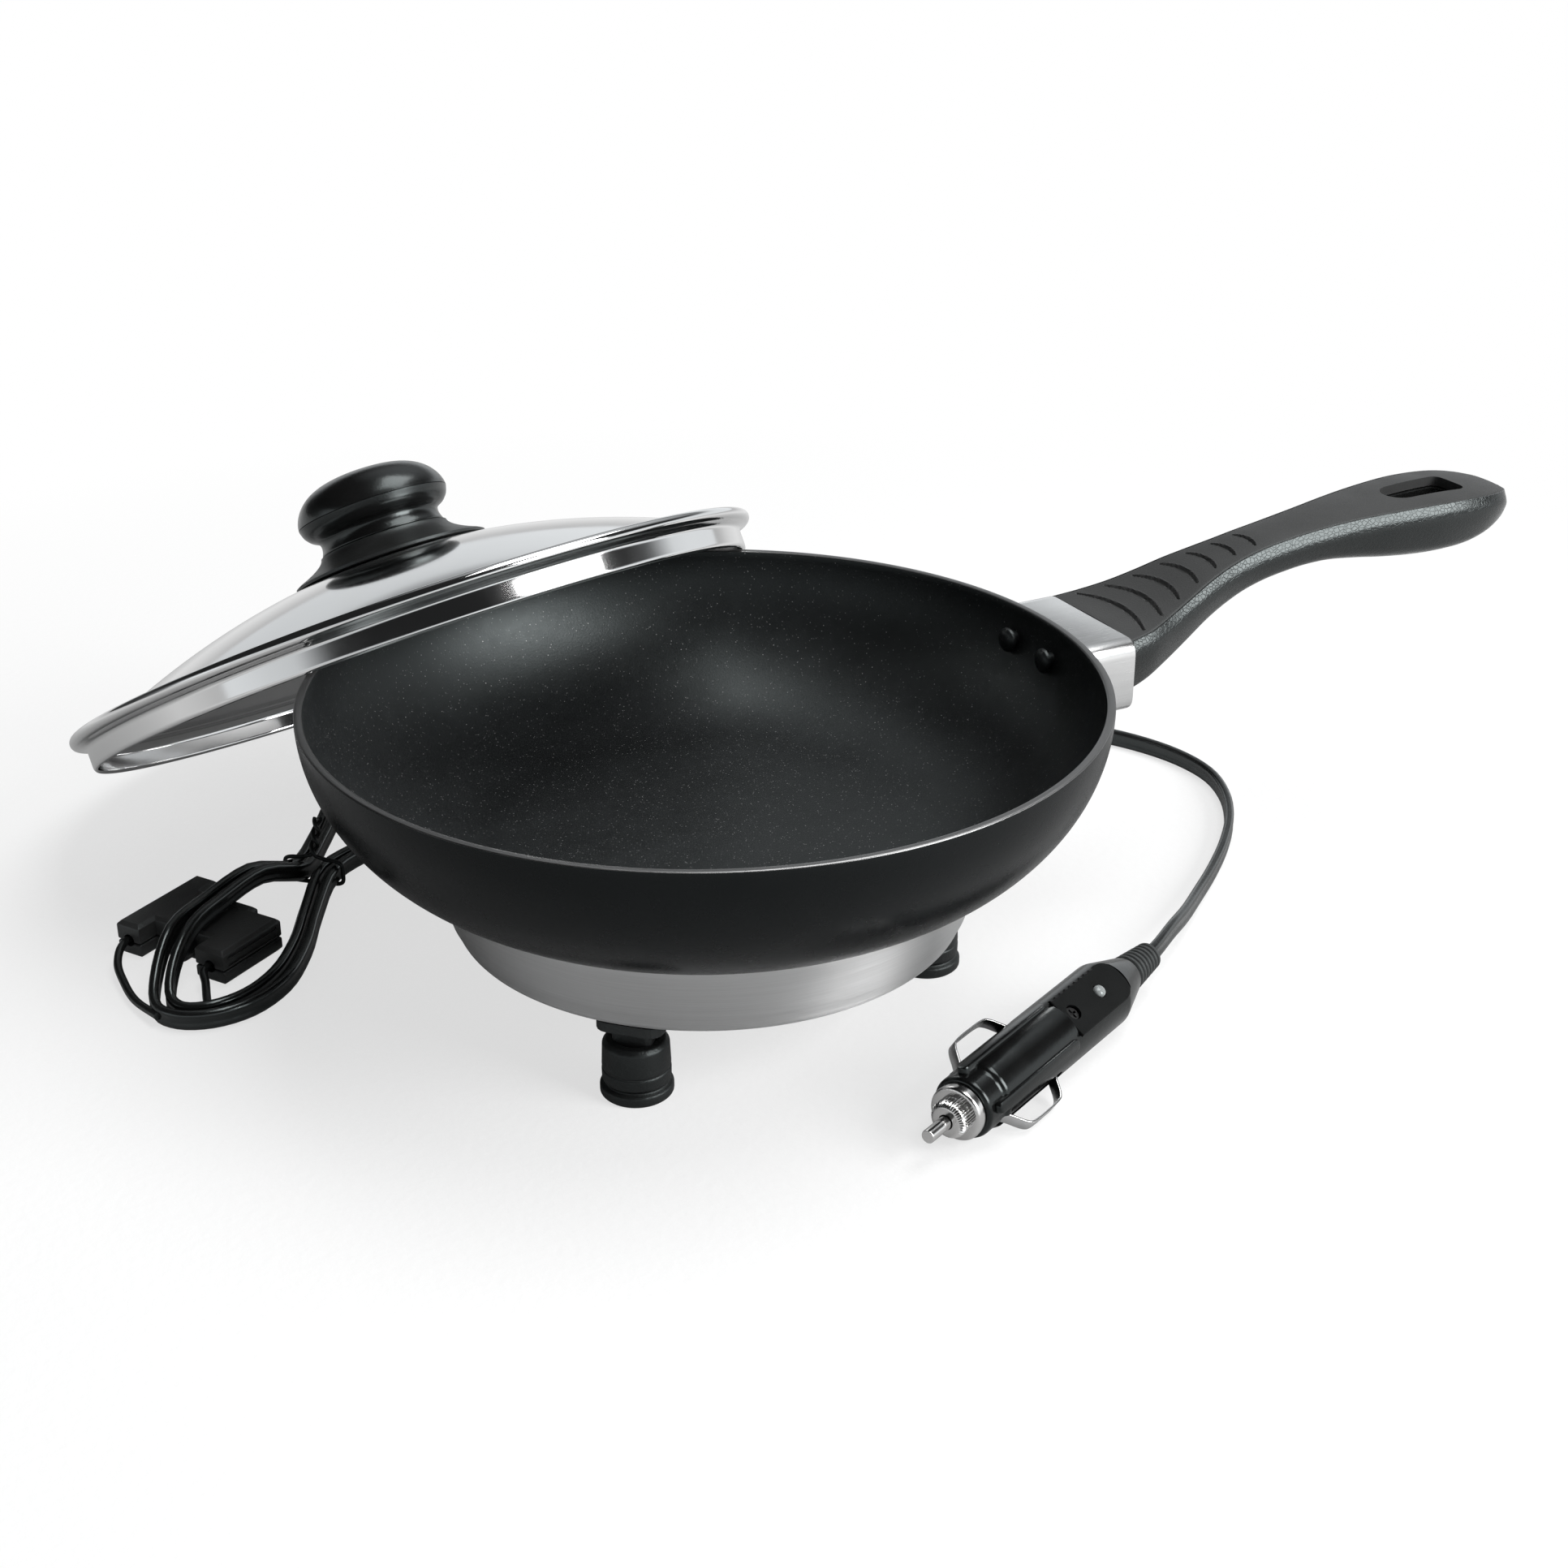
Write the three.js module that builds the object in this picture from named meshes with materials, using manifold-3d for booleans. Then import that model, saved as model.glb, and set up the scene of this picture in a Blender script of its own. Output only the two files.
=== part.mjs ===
// Twelve-volt electric skillet: a deep non-stick pan on a heated base, with a loose domed lid
// leaning on its rim, and a flat twin lead in a tied hank with an inline fuse and a socket plug.
// Millimetres, +Z up. The table is z = 0 and the handle points along +X.

import * as THREE from 'three';
import { mergeVertices } from 'three/addons/utils/BufferGeometryUtils.js';
import Module from 'manifold-3d';

const wasm = await Module();
wasm.setup();

// Shared clearances
const seatGap = 0.3;
const cutOverrun = 2;
const weldTolerance = 0.0001;

// Facets round the large and the middling turned pieces
const panSegments = 44;
const discSegments = 28;
const knobSegments = 24;
const cupSegments = 18;
const smallSegments = 14;
const headSegments = 12;
const holeSegments = 10;
const shankSegments = 8;
const endSegments = 6;
const gripSegments = 4;
const panelSegments = 3;
const plateSegments = 2;
const neckSegments = 1;

// Pan
const rimRadius = 120;
const rimHeight = 98;
const panWall = 2.6;
const rimEdgeRadius = 0.6;
const panBaseHeight = 48;
const panFloor = 4;
const bowlSink = 2.9;
const footCircleRadius = 68;
const bowlFlatMargin = 8;
const bowlFlatRadius = footCircleRadius - bowlFlatMargin;
const bowlDepth = rimHeight - panBaseHeight + bowlSink;
const cookingFlatRadius = 66;
const cookingDepth = rimHeight - panBaseHeight - panFloor;
const bossRadius = 4.6;
const centreBossRadius = 6;
const centreBossDrop = 8;

// Heater housing under the pan
const housingDepth = 22;
const housingFlare = 5.9;
const housingFootMargin = 10.1;
const housingBottomRadius = footCircleRadius + housingFootMargin;
const housingTopRadius = housingBottomRadius + housingFlare;
const housingBottom = panBaseHeight - housingDepth;
const housingSheet = 1;
const housingEdgeRadius = 3;
const flangeMargin = 6;
const housingFlangeRadius = footCircleRadius - flangeMargin;
const coverSheet = 1;
const coverMargin = 5;
const coverRadius = footCircleRadius + coverMargin;
const coverDishRadius = 40;
const coverDishDepth = 2;

// Feet
const footAngles = [101.8, 225.1, 338.4];
const footTopRadius = 10;
const footLipRadius = 10.7;
const footClearance = 8;
const footHeight = housingBottom - footClearance;
const footGrooveHeight = 4.2;
const footGrooveDepth = 0.7;
const footNeckLength = 9;
const footNeckWidth = 12;
const footSocketShare = 0.39;
const footSocketDepth = footHeight * footSocketShare;
const footPlateLength = 16;
const footPlateWidth = 20;
const footPlateThickness = 3;
const footScrewRadius = 1.7;
const footScrewHeadRadius = 3.4;
const footScrewHeadHeight = 2.4;
const footRecessDepth = 4;
const footScrewReach = 8;

// Heater stack, from the pan's base down
const micaMargin = 8;
const micaRadius = footCircleRadius - micaMargin;
const micaThickness = 0.8;
const stackHoleRadius = 7;
const elementThickness = 1.2;
const elementInnerRadius = 14;
const elementMargin = 4;
const elementOuterRadius = micaRadius - elementMargin;
const elementRibbonWidth = 5;
const elementTurns = 3;
const padThickness = 5;
const clampThickness = 1.5;
const clampMargin = 8;
const clampRadius = micaRadius - clampMargin;
const clampRibRadius = 30;
const clampRibHeight = 1.4;
const clampScrewRadius = 2.5;
const clampScrewHeadRadius = 5;
const clampScrewHeadHeight = 3;
const cutoutPlace = new THREE.Vector2(16, -24);
const cutoutRadius = 7.8;
const cutoutHeight = 3.6;
const cutoutTabWidth = 5;
const cutoutTabReach = 15;
const blockLength = 24;
const blockWidth = 12;
const blockHeight = 6.4;
const blockMargin = 14;
const blockRadialPlace = micaRadius - blockMargin;

// Handle
const foldDrop = 3;
const handleFold = rimHeight - foldDrop;
const collarDepth = 24;
const collarHalfWidth = 24.8;
const collarReach = 18;
const collarInset = 20;
const collarEnd = rimRadius + collarReach;
const collarStart = rimRadius - collarInset;
const collarSheet = 1.2;
const collarCornerRadius = 4;
const gripReach = 168;
const handleLength = collarEnd + gripReach;
const insertThickness = 3.4;
const insertMargin = 2.6;
const insertBevelDrop = 4.6;
const grooveInset = 9;
const grooveFirst = collarEnd + grooveInset;
const groovePitch = 8.6;
const grooveCount = 7;
const grooveWidth = 1.2;
const grooveDepth = 0.9;
const grooveBow = 5;
const handleRise = 22.4;
const handleStationShares = [
  0, 0.055, 0.11, 0.165, 0.22, 0.27, 0.32, 0.37, 0.42, 0.47,
  0.53, 0.6, 0.67, 0.74, 0.8, 0.86, 0.91, 0.95, 0.98, 1,
];
const handleHalfWidthShares = [
  1, 0.935, 0.82, 0.715, 0.62, 0.545, 0.495, 0.475, 0.475, 0.487,
  0.52, 0.578, 0.65, 0.71, 0.745, 0.745, 0.71, 0.62, 0.47, 0.2,
];
const handleTopShares = [
  0, 0.06, 0.17, 0.31, 0.46, 0.57, 0.66, 0.735, 0.79, 0.84,
  0.89, 0.94, 0.97, 0.99, 1, 0.995, 0.98, 0.955, 0.92, 0.88,
];
const handleThicknessShares = [
  1, 0.94, 0.88, 0.81, 0.73, 0.67, 0.62, 0.595, 0.585, 0.59,
  0.625, 0.72, 0.81, 0.87, 0.89, 0.86, 0.76, 0.62, 0.46, 0.3,
];
const hangHoleLength = 31;
const hangHoleMargin = 19;
const hangHoleEnd = handleLength - hangHoleMargin;
const hangHoleStart = hangHoleEnd - hangHoleLength;
const hangHoleHalfWidth = 7.6;
const hangHoleStep = 1.6;
const bracketWidth = 34;
const bracketDrop = 3;
const bracketHeight = 17;
const bracketTop = handleFold - bracketDrop;
const bracketBottom = bracketTop - bracketHeight;
const bracketThickness = 4;
const tongueWidth = 13;
const tongueThickness = 5;
const tongueDrop = 11;
const tongueReach = 30;
const tongueHeight = handleFold - tongueDrop;
const tongueEnd = collarEnd + tongueReach;
const handleScrewInset = 20;
const handleScrewPlace = collarEnd + handleScrewInset;
const handleScrewRadius = 2;
const handleScrewHeadRadius = 3.8;
const handleScrewHeadHeight = 2.2;
const rivetDrop = 7;
const rivetHeight = handleFold - rivetDrop;
const rivetSpread = 10.6;
const rivetRadius = 2.4;
const rivetHeadRadius = 4;
const rivetHeadHeight = 1.8;

// Lid
const lidFitGap = 2.9;
const lidSkirtRadius = rimRadius - lidFitGap;
const lidSkirtDepth = 10.9;
const lidBeadReach = 4.8;
const lidBeadRadius = lidSkirtRadius + lidBeadReach;
const lidBeadThickness = 2.3;
const lidSheet = 0.8;
const lidShoulderWidth = 6.6;
const lidDomeRadius = lidSkirtRadius - lidShoulderWidth;
const lidDomeRise = 27.2;
const lidDomeEdgeRise = 0.4;
const lidHoleRadius = 3.4;
const lidTouchShare = 0.67575;
const lidLean = THREE.MathUtils.degToRad(102.9);
const lidRestGap = 0.35;
const knobBaseRadius = 34;
const knobBaseTopRadius = 22.6;
const knobBaseRise = 6.4;
const knobBaseEdge = 1.6;
const knobNeckRadius = 20.9;
const knobNeckRise = 5.6;
const knobRadius = 26.5;
const knobGripRise = 18.7;
const knobScrewRadius = 2.4;
const knobScrewHeadRadius = 4.4;
const knobScrewHeadHeight = 2.8;
const knobScrewReach = 22;
const knobWasherRadius = 7;
const knobWasherThickness = 1;

// Lead
const cordWidth = 6.5;
const cordThickness = 3.2;
const glandAngle = THREE.MathUtils.degToRad(116.6);
const glandRise = 12;
const glandHeight = housingBottom + glandRise;
const glandFlangeRadius = 6.8;
const glandFlangeThickness = 2.4;
const glandNeckRadius = 4.8;
const glandReliefLength = 22;
const glandReliefBase = 5.4;
const glandReliefTip = 4;
const glandRingDepth = 0.6;
const glandRingCount = 4;
const glandInnerReach = 5;
const leadRoutePlaces = [
  [-1.9, 3.9], [-4, 8.1], [-6.6, 13.5], [-8.6, 19.7], [-9.8, 26.7],
  [-10.2, 34.7], [-10.2, 42.7], [-9, 49.1], [-4.7, 54.4], [0.9, 58.7],
];
const leadRouteHeightShares = [
  0.995, 0.968, 0.889, 0.774, 0.626, 0.479, 0.358, 0.268, 0.179, 0.116,
];
const plugRouteByHank = [[54.5, 31.5], [61.4, 38.8], [67.6, 46.6], [73.8, 54.5]];
const plugRouteOnTable = [
  [-8.5, 181, 0], [4, 188.5, 0], [20, 193, 0], [38, 194, 0], [57, 192, 0], [77, 187, 0],
  [97, 179, 0], [117, 169, 0], [136, 157, 0], [155, 143, 0], [173, 128, 0], [190, 112, 0],
  [205, 95, 0], [217, 76, 0], [223.5, 57, 0], [224, 39, 0], [218, 22, 0], [207.5, 6, 0],
  [193.5, -9, 0], [177, -23.5, 0.3], [160.5, -37, 1.8], [146, -49, 4], [133.5, -58.4, 6.2],
];

// Hank of the lead
const hankOffset = new THREE.Vector2(-43.3, 24.64);
const hankAngle = THREE.MathUtils.degToRad(47.6);
const hankHalfLength = 98;
const hankLobeHalfWidth = 19.6;
const hankLobeDrift = 3;
const hankPitch = 4.7;
const hankStart = THREE.MathUtils.degToRad(-45);
const hankEnd = THREE.MathUtils.degToRad(660);
const hankStepAngle = THREE.MathUtils.degToRad(15);
const hankTableGap = 0.35;
const hankTieLift = 1.9;
const hankTieSpan = 9;
const hankRiseStart = 8;
const hankRiseLength = 19;
const hankFallStart = 68;
const hankFallLength = 24;
const tieWireRadius = 0.7;
const tieTailLength = 13;
const tieTailAngle = THREE.MathUtils.degToRad(62);

// Inline fuse box, an H seen from above
const fuseBoxOffset = new THREE.Vector2(-41.3, -25.1);
const fuseBoxAngle = THREE.MathUtils.degToRad(32);
const fuseBoxLength = 37;
const fuseBoxWidth = 44;
const fuseBoxHeight = 12;
const fuseParting = 5.2;
const fuseBarWidth = 9.4;
const fuseShortBarWidth = 11.5;
const fuseShortBarLength = 27;
const fuseBridgeLength = 22;
const fuseChamfer = 1.2;
const fuseLabelLength = 14;
const fuseLabelWidth = 15;
const fuseLabelDepth = 0.5;
const fuseLabelCorner = 3;
const fuseCapRadius = 4.6;
const fuseCapLength = 5;
const fuseLinkRadius = 2.6;
const fuseLinkLength = 17;
const fuseWireRadius = 1.3;
const fuseWireHoleRadius = 2.1;
const fuseWireDepth = 5;
const fuseRibCount = 2;
const fuseRibDepth = 0.5;
const fuseRibHeight = 1;
const fuseWireOutPlaces = [[-30.8, -2.4, 4.6], [-31.2, -11.4, 3], [-29.6, -19.4, 2.4]];
const fuseWireInPlaces = [[-10.5, -30.5, 4.6]];
const fuseWireOutTurn = THREE.MathUtils.degToRad(525);
const fuseWireInTurn = THREE.MathUtils.degToRad(195);

// Socket plug
const plugTip = new THREE.Vector3(4, -122.3, 10.7);
const plugAngle = THREE.MathUtils.degToRad(25.1);
const plugRoll = THREE.MathUtils.degToRad(32);
const plugLength = 124.3;
const plugPinRadius = 2;
const plugPinLength = 9;
const plugPinTravel = 3;
const plugPinHidden = 8;
const plugNoseRadius = 5.6;
const plugNoseLength = 4.6;
const plugRingRadius = 8.2;
const plugRingLength = 3.6;
const plugCollarRadius = 9.4;
const plugBodyRadius = 10.4;
const plugCollarStart = 17.2;
const plugBodyStart = 25;
const plugPanelStart = 64.5;
const plugPanelEnd = 97;
const plugPanelDepth = 1.6;
const plugPanelHalfWidth = 7;
const plugTaperStart = 94;
const plugTailRadius = 5.8;
const plugBodyEnd = 109;
const plugRibStart = 19.7;
const plugRibEnd = 62.8;
const plugRibHeight = 1;
const plugRibWidth = 3.6;
const plugSlotWidth = 5.4;
const plugSlotDepth = 5.4;
const plugSlotStart = 24;
const plugSlotEnd = 56;
const contactWidth = 4;
const contactSheet = 0.6;
const contactStart = 25.5;
const contactEnd = 54.5;
const contactBow = 5.4;
const contactLift = 2.2;
const contactBowShares = [
  [0, 0], [0.08, 0.3], [0.2, 0.86], [0.3, 1], [0.7, 1], [0.8, 0.86], [0.92, 0.3], [1, 0],
];
const ledRadius = 2;
const ledPlace = 84;
const plugScrewPlace = 69;
const plugScrewRadius = 2.2;
const reliefStartRadius = 5.8;
const reliefEndRadius = 4.2;
const reliefRingCount = 5;
const reliefRingDepth = 0.7;

// Colours and finishes
function finish(color, roughness, metalness) {
  return new THREE.MeshStandardMaterial({ color, roughness, metalness });
}
const nonStick = finish(0x2b2d2e, 0.45, 0.2);
const brushedSteel = finish(0xb4b6b7, 0.38, 0.9);
const polishedSteel = finish(0xd5d7d8, 0.12, 1);
const collarSteel = finish(0xd2d4d5, 0.3, 0.9);
const gripBlack = finish(0x2a2b2c, 0.6, 0);
const insertGrey = finish(0x3c3e3f, 0.55, 0);
const knobBlack = finish(0x151516, 0.25, 0);
const knobMatte = finish(0x2c2d2e, 0.6, 0);
const plugBlack = finish(0x1b1c1e, 0.22, 0);
const rubberBlack = finish(0x1c1c1d, 0.75, 0);
const cordGrey = finish(0x3d3f41, 0.5, 0);
const fuseGrey = finish(0x43464a, 0.5, 0);
const nickel = finish(0xc9c9c6, 0.2, 1);
const mica = finish(0xb9a878, 0.6, 0);
const resistance = finish(0x8d8880, 0.45, 0.9);
const ceramicFelt = finish(0xe4e1da, 0.95, 0);
const zincSteel = finish(0x9a9d9f, 0.4, 0.9);
const ceramic = finish(0xe8e4da, 0.5, 0);
const lensRed = finish(0xc9b8b4, 0.1, 0);

// Geometry helpers

const v2 = (x, y) => new THREE.Vector2(x, y);
const v3 = (x, y, z) => new THREE.Vector3(x, y, z);

// Merges shared corners, drops slivers with two equal corners, and turns the faces outward
function weld(geometry) {
  geometry.deleteAttribute('normal');
  geometry.deleteAttribute('uv');
  const merged = mergeVertices(geometry, weldTolerance);
  const place = merged.getAttribute('position');
  const index = merged.getIndex().array;
  const kept = [];
  let volume = 0;
  const a = v3(0, 0, 0);
  const b = v3(0, 0, 0);
  const c = v3(0, 0, 0);
  for (let i = 0; i < index.length; i += 3) {
    const [p, q, r] = [index[i], index[i + 1], index[i + 2]];
    if (p === q || q === r || r === p) continue;
    kept.push([p, q, r]);
    a.fromBufferAttribute(place, p);
    b.fromBufferAttribute(place, q);
    c.fromBufferAttribute(place, r);
    volume += a.dot(b.cross(c));
  }
  if (volume < 0) kept.forEach((face) => face.reverse());
  merged.setIndex(kept.flat());
  return merged;
}

function solid(geometry) {
  const welded = weld(geometry);
  return new wasm.Manifold(new wasm.Mesh({
    numProp: 3,
    vertProperties: new Float32Array(welded.getAttribute('position').array),
    triVerts: new Uint32Array(welded.getIndex().array),
  }));
}

function surface(shape) {
  if (shape.isBufferGeometry) return weld(shape);
  const mesh = shape.getMesh();
  const geometry = new THREE.BufferGeometry();
  const places = new Float32Array(mesh.vertProperties);
  geometry.setAttribute('position', new THREE.BufferAttribute(places, 3));
  geometry.setIndex(new THREE.BufferAttribute(new Uint32Array(mesh.triVerts), 1));
  return geometry;
}

// A profile of (radius, height) points turned about +Z
function turned(points, segments) {
  return new THREE.LatheGeometry(points, segments).rotateX(Math.PI / 2);
}

function rod(radius, low, high, segments) {
  const geometry = new THREE.CylinderGeometry(radius, radius, high - low, segments);
  return geometry.rotateX(Math.PI / 2).translate(0, 0, (high + low) / 2);
}

function block(low, high) {
  const size = high.clone().sub(low);
  const middle = high.clone().add(low).multiplyScalar(1 / 2);
  return new THREE.BoxGeometry(size.x, size.y, size.z).translate(middle.x, middle.y, middle.z);
}

function roundedOutline(width, height, radius) {
  const [x, y] = [width / 2 - radius, height / 2 - radius];
  const shape = new THREE.Shape();
  shape.absarc(x, y, radius, 0, Math.PI / 2, false);
  shape.absarc(-x, y, radius, Math.PI / 2, Math.PI, false);
  shape.absarc(-x, -y, radius, Math.PI, (3 * Math.PI) / 2, false);
  shape.absarc(x, -y, radius, (3 * Math.PI) / 2, 2 * Math.PI, false);
  return shape;
}

function slab(shape, low, high, curveSegments) {
  const settings = { depth: high - low, bevelEnabled: false, curveSegments };
  const geometry = new THREE.ExtrudeGeometry(shape, settings);
  return geometry.translate(0, 0, low);
}

// Rings of points joined into one skin, with each end closed by its own flat polygon
function loft(rings, flatten) {
  const count = rings[0].length;
  const places = rings.flat().flatMap((point) => point.toArray());
  const index = [];
  for (let i = 0; i + 1 < rings.length; i += 1) {
    for (let j = 0; j < count; j += 1) {
      const next = (j + 1) % count;
      const [a, b] = [i * count + j, i * count + next];
      const [d, c] = [a + count, b + count];
      index.push(a, b, c, a, c, d);
    }
  }
  const closeEnd = (ring, first, reversed) => {
    const outline = ring.map(flatten);
    const turn = Math.sign(THREE.ShapeUtils.area(outline));
    THREE.ShapeUtils.triangulateShape(outline, []).forEach((face) => {
      const faceTurn = Math.sign(THREE.ShapeUtils.area(face.map((k) => outline[k])));
      const forward = (faceTurn === turn) !== reversed;
      const corners = face.map((k) => first + k);
      index.push(...(forward ? corners : corners.reverse()));
    });
  };
  closeEnd(rings[0], 0, true);
  closeEnd(rings[rings.length - 1], (rings.length - 1) * count, false);
  const geometry = new THREE.BufferGeometry();
  geometry.setAttribute('position', new THREE.Float32BufferAttribute(places, 3));
  geometry.setIndex(index);
  return geometry;
}

const root = new THREE.Group();

function part(name, shape, material, group = root) {
  const mesh = new THREE.Mesh(surface(shape), material);
  mesh.name = name;
  group.add(mesh);
  return mesh;
}

// Pan

// The bowl's outside is a quarter ellipse from the rim to the flat base
function bowlOutside(growth) {
  const reach = rimRadius - bowlFlatRadius + growth;
  const drop = bowlDepth + growth;
  const lowest = Math.asin((rimHeight - panBaseHeight) / drop);
  const steps = 6;
  const points = [];
  for (let i = 0; i <= steps; i += 1) {
    const angle = lowest * (1 - i / steps);
    points.push(v2(bowlFlatRadius + reach * Math.cos(angle), rimHeight - drop * Math.sin(angle)));
  }
  return points;
}

function bowlInside() {
  const reach = rimRadius - panWall - cookingFlatRadius;
  const steps = 6;
  const points = [];
  for (let i = 0; i <= steps; i += 1) {
    const angle = (Math.PI / 2) * (i / steps);
    const height = rimHeight - cookingDepth * Math.sin(angle);
    points.push(v2(cookingFlatRadius + reach * Math.cos(angle), height));
  }
  return points;
}

// A solid plug of the bowl's outer shape, grown a little, that cuts what meets the wall
function bowlCutter(growth) {
  const wall = bowlOutside(growth);
  const top = v2(rimRadius + growth, rimHeight + collarDepth);
  return solid(turned([v2(0, panBaseHeight), ...wall, top, v2(0, top.y)], panSegments));
}

const wallRadiusAt = (height) => {
  const drop = (rimHeight - height) / bowlDepth;
  return bowlFlatRadius + (rimRadius - bowlFlatRadius) * Math.sqrt(1 - drop * drop);
};
const wallHeightAt = (radius) => {
  const reach = (radius - bowlFlatRadius) / (rimRadius - bowlFlatRadius);
  return rimHeight - bowlDepth * Math.sqrt(1 - reach * reach);
};
const housingTop = wallHeightAt(housingTopRadius - housingSheet) - seatGap;
const coverTop = housingBottom + housingSheet + seatGap + coverSheet;

function onFootCircle(angle) {
  const turn = THREE.MathUtils.degToRad(angle);
  return v2(footCircleRadius * Math.cos(turn), footCircleRadius * Math.sin(turn));
}

const rivetAngle = Math.asin(rivetSpread / wallRadiusAt(rivetHeight));
const rivetDirection = (side) => v3(Math.cos(rivetAngle), side * Math.sin(rivetAngle), 0);

// Turns and moves a shape that stands along +Z so that it points along a direction from a place
function aimed(geometry, direction, place) {
  const turn = new THREE.Quaternion().setFromUnitVectors(v3(0, 0, 1), direction.clone().normalize());
  return geometry.applyQuaternion(turn).translate(place.x, place.y, place.z);
}

function rivetHole(side, radius) {
  const reach = rimRadius;
  return solid(aimed(rod(radius, 0, reach * 2, holeSegments), rivetDirection(side), v3(0, 0, rivetHeight)));
}

function makePan() {
  const outside = bowlOutside(0);
  const rim = [
    v2(rimRadius - rimEdgeRadius, rimHeight + rimEdgeRadius),
    v2(rimRadius - panWall + rimEdgeRadius, rimHeight + rimEdgeRadius),
  ];
  const middle = v2(0, rimHeight - cookingDepth);
  const profile = [v2(0, panBaseHeight), ...outside, ...rim, ...bowlInside(), middle];
  let shell = solid(turned(profile, panSegments));
  const bossEnd = coverTop + seatGap;
  footAngles.forEach((angle) => {
    const place = onFootCircle(angle);
    const boss = rod(bossRadius, bossEnd, panBaseHeight + panWall / 2, smallSegments);
    boss.translate(place.x, place.y, 0);
    const holeTop = bossEnd + footScrewReach + seatGap;
    const hole = rod(footScrewRadius + seatGap, bossEnd - cutOverrun, holeTop, holeSegments);
    shell = shell.add(solid(boss)).subtract(solid(hole.translate(place.x, place.y, 0)));
  });
  const bossLow = panBaseHeight - centreBossDrop;
  shell = shell.add(solid(rod(centreBossRadius, bossLow, panBaseHeight + panWall / 2, smallSegments)));
  const clampHoleTop = panBaseHeight + seatGap;
  const clampHole = rod(clampScrewRadius + seatGap, bossLow - cutOverrun, clampHoleTop, holeSegments);
  shell = shell.subtract(solid(clampHole));
  [-1, 1].forEach((side) => {
    shell = shell.subtract(rivetHole(side, rivetRadius + seatGap));
  });
  part('pan_shell', shell, nonStick);
}

// Base

function makeHousing() {
  const lowest = housingBottom;
  const edge = housingEdgeRadius;
  const slope = (housingTopRadius - housingBottomRadius) / (housingTop - housingBottom);
  const outerAt = (height) => housingBottomRadius + slope * (height - housingBottom);
  const corner = [];
  const steps = 2;
  for (let i = 0; i <= steps; i += 1) {
    const angle = (Math.PI / 2) * (i / steps);
    corner.push(v2(
      housingBottomRadius - edge + edge * Math.sin(angle),
      lowest + edge - edge * Math.cos(angle),
    ));
  }
  const innerEdge = edge - housingSheet;
  const innerCorner = corner.map((point, i) => {
    const angle = (Math.PI / 2) * (i / steps);
    return v2(
      housingBottomRadius - edge + innerEdge * Math.sin(angle),
      lowest + edge - innerEdge * Math.cos(angle),
    );
  }).reverse();
  const profile = [
    v2(housingFlangeRadius, lowest),
    ...corner,
    v2(outerAt(housingTop), housingTop),
    v2(outerAt(housingTop) - housingSheet, housingTop),
    ...innerCorner,
    v2(housingFlangeRadius, lowest + housingSheet),
  ];
  profile.push(profile[0].clone());
  let ring = solid(turned(profile, panSegments));
  const glandTool = rod(glandNeckRadius + seatGap, 0, housingTopRadius + cutOverrun, smallSegments);
  ring = ring.subtract(solid(aimed(glandTool, glandDirection, v3(0, 0, glandHeight))));
  footAngles.forEach((angle) => {
    const place = onFootCircle(angle);
    const hole = rod(footScrewRadius + seatGap, lowest - cutOverrun, lowest + edge, holeSegments);
    ring = ring.subtract(solid(hole.translate(place.x, place.y, 0)));
  });
  part('heater_housing', ring, brushedSteel);
}

function makeBaseCover() {
  const low = housingBottom + housingSheet + seatGap;
  const dish = low - coverDishDepth;
  const slope = coverDishDepth * 2;
  const profile = [
    v2(0, dish),
    v2(coverDishRadius, dish),
    v2(coverDishRadius + slope, low),
    v2(coverRadius, low),
    v2(coverRadius, low + coverSheet),
    v2(coverDishRadius + slope, low + coverSheet),
    v2(coverDishRadius, dish + coverSheet),
    v2(0, dish + coverSheet),
  ];
  let cover = solid(turned(profile, discSegments));
  footAngles.forEach((angle) => {
    const place = onFootCircle(angle);
    const hole = rod(footScrewRadius + seatGap, low - cutOverrun, low + cutOverrun, holeSegments);
    cover = cover.subtract(solid(hole.translate(place.x, place.y, 0)));
  });
  part('base_cover', cover, zincSteel);
}

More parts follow.
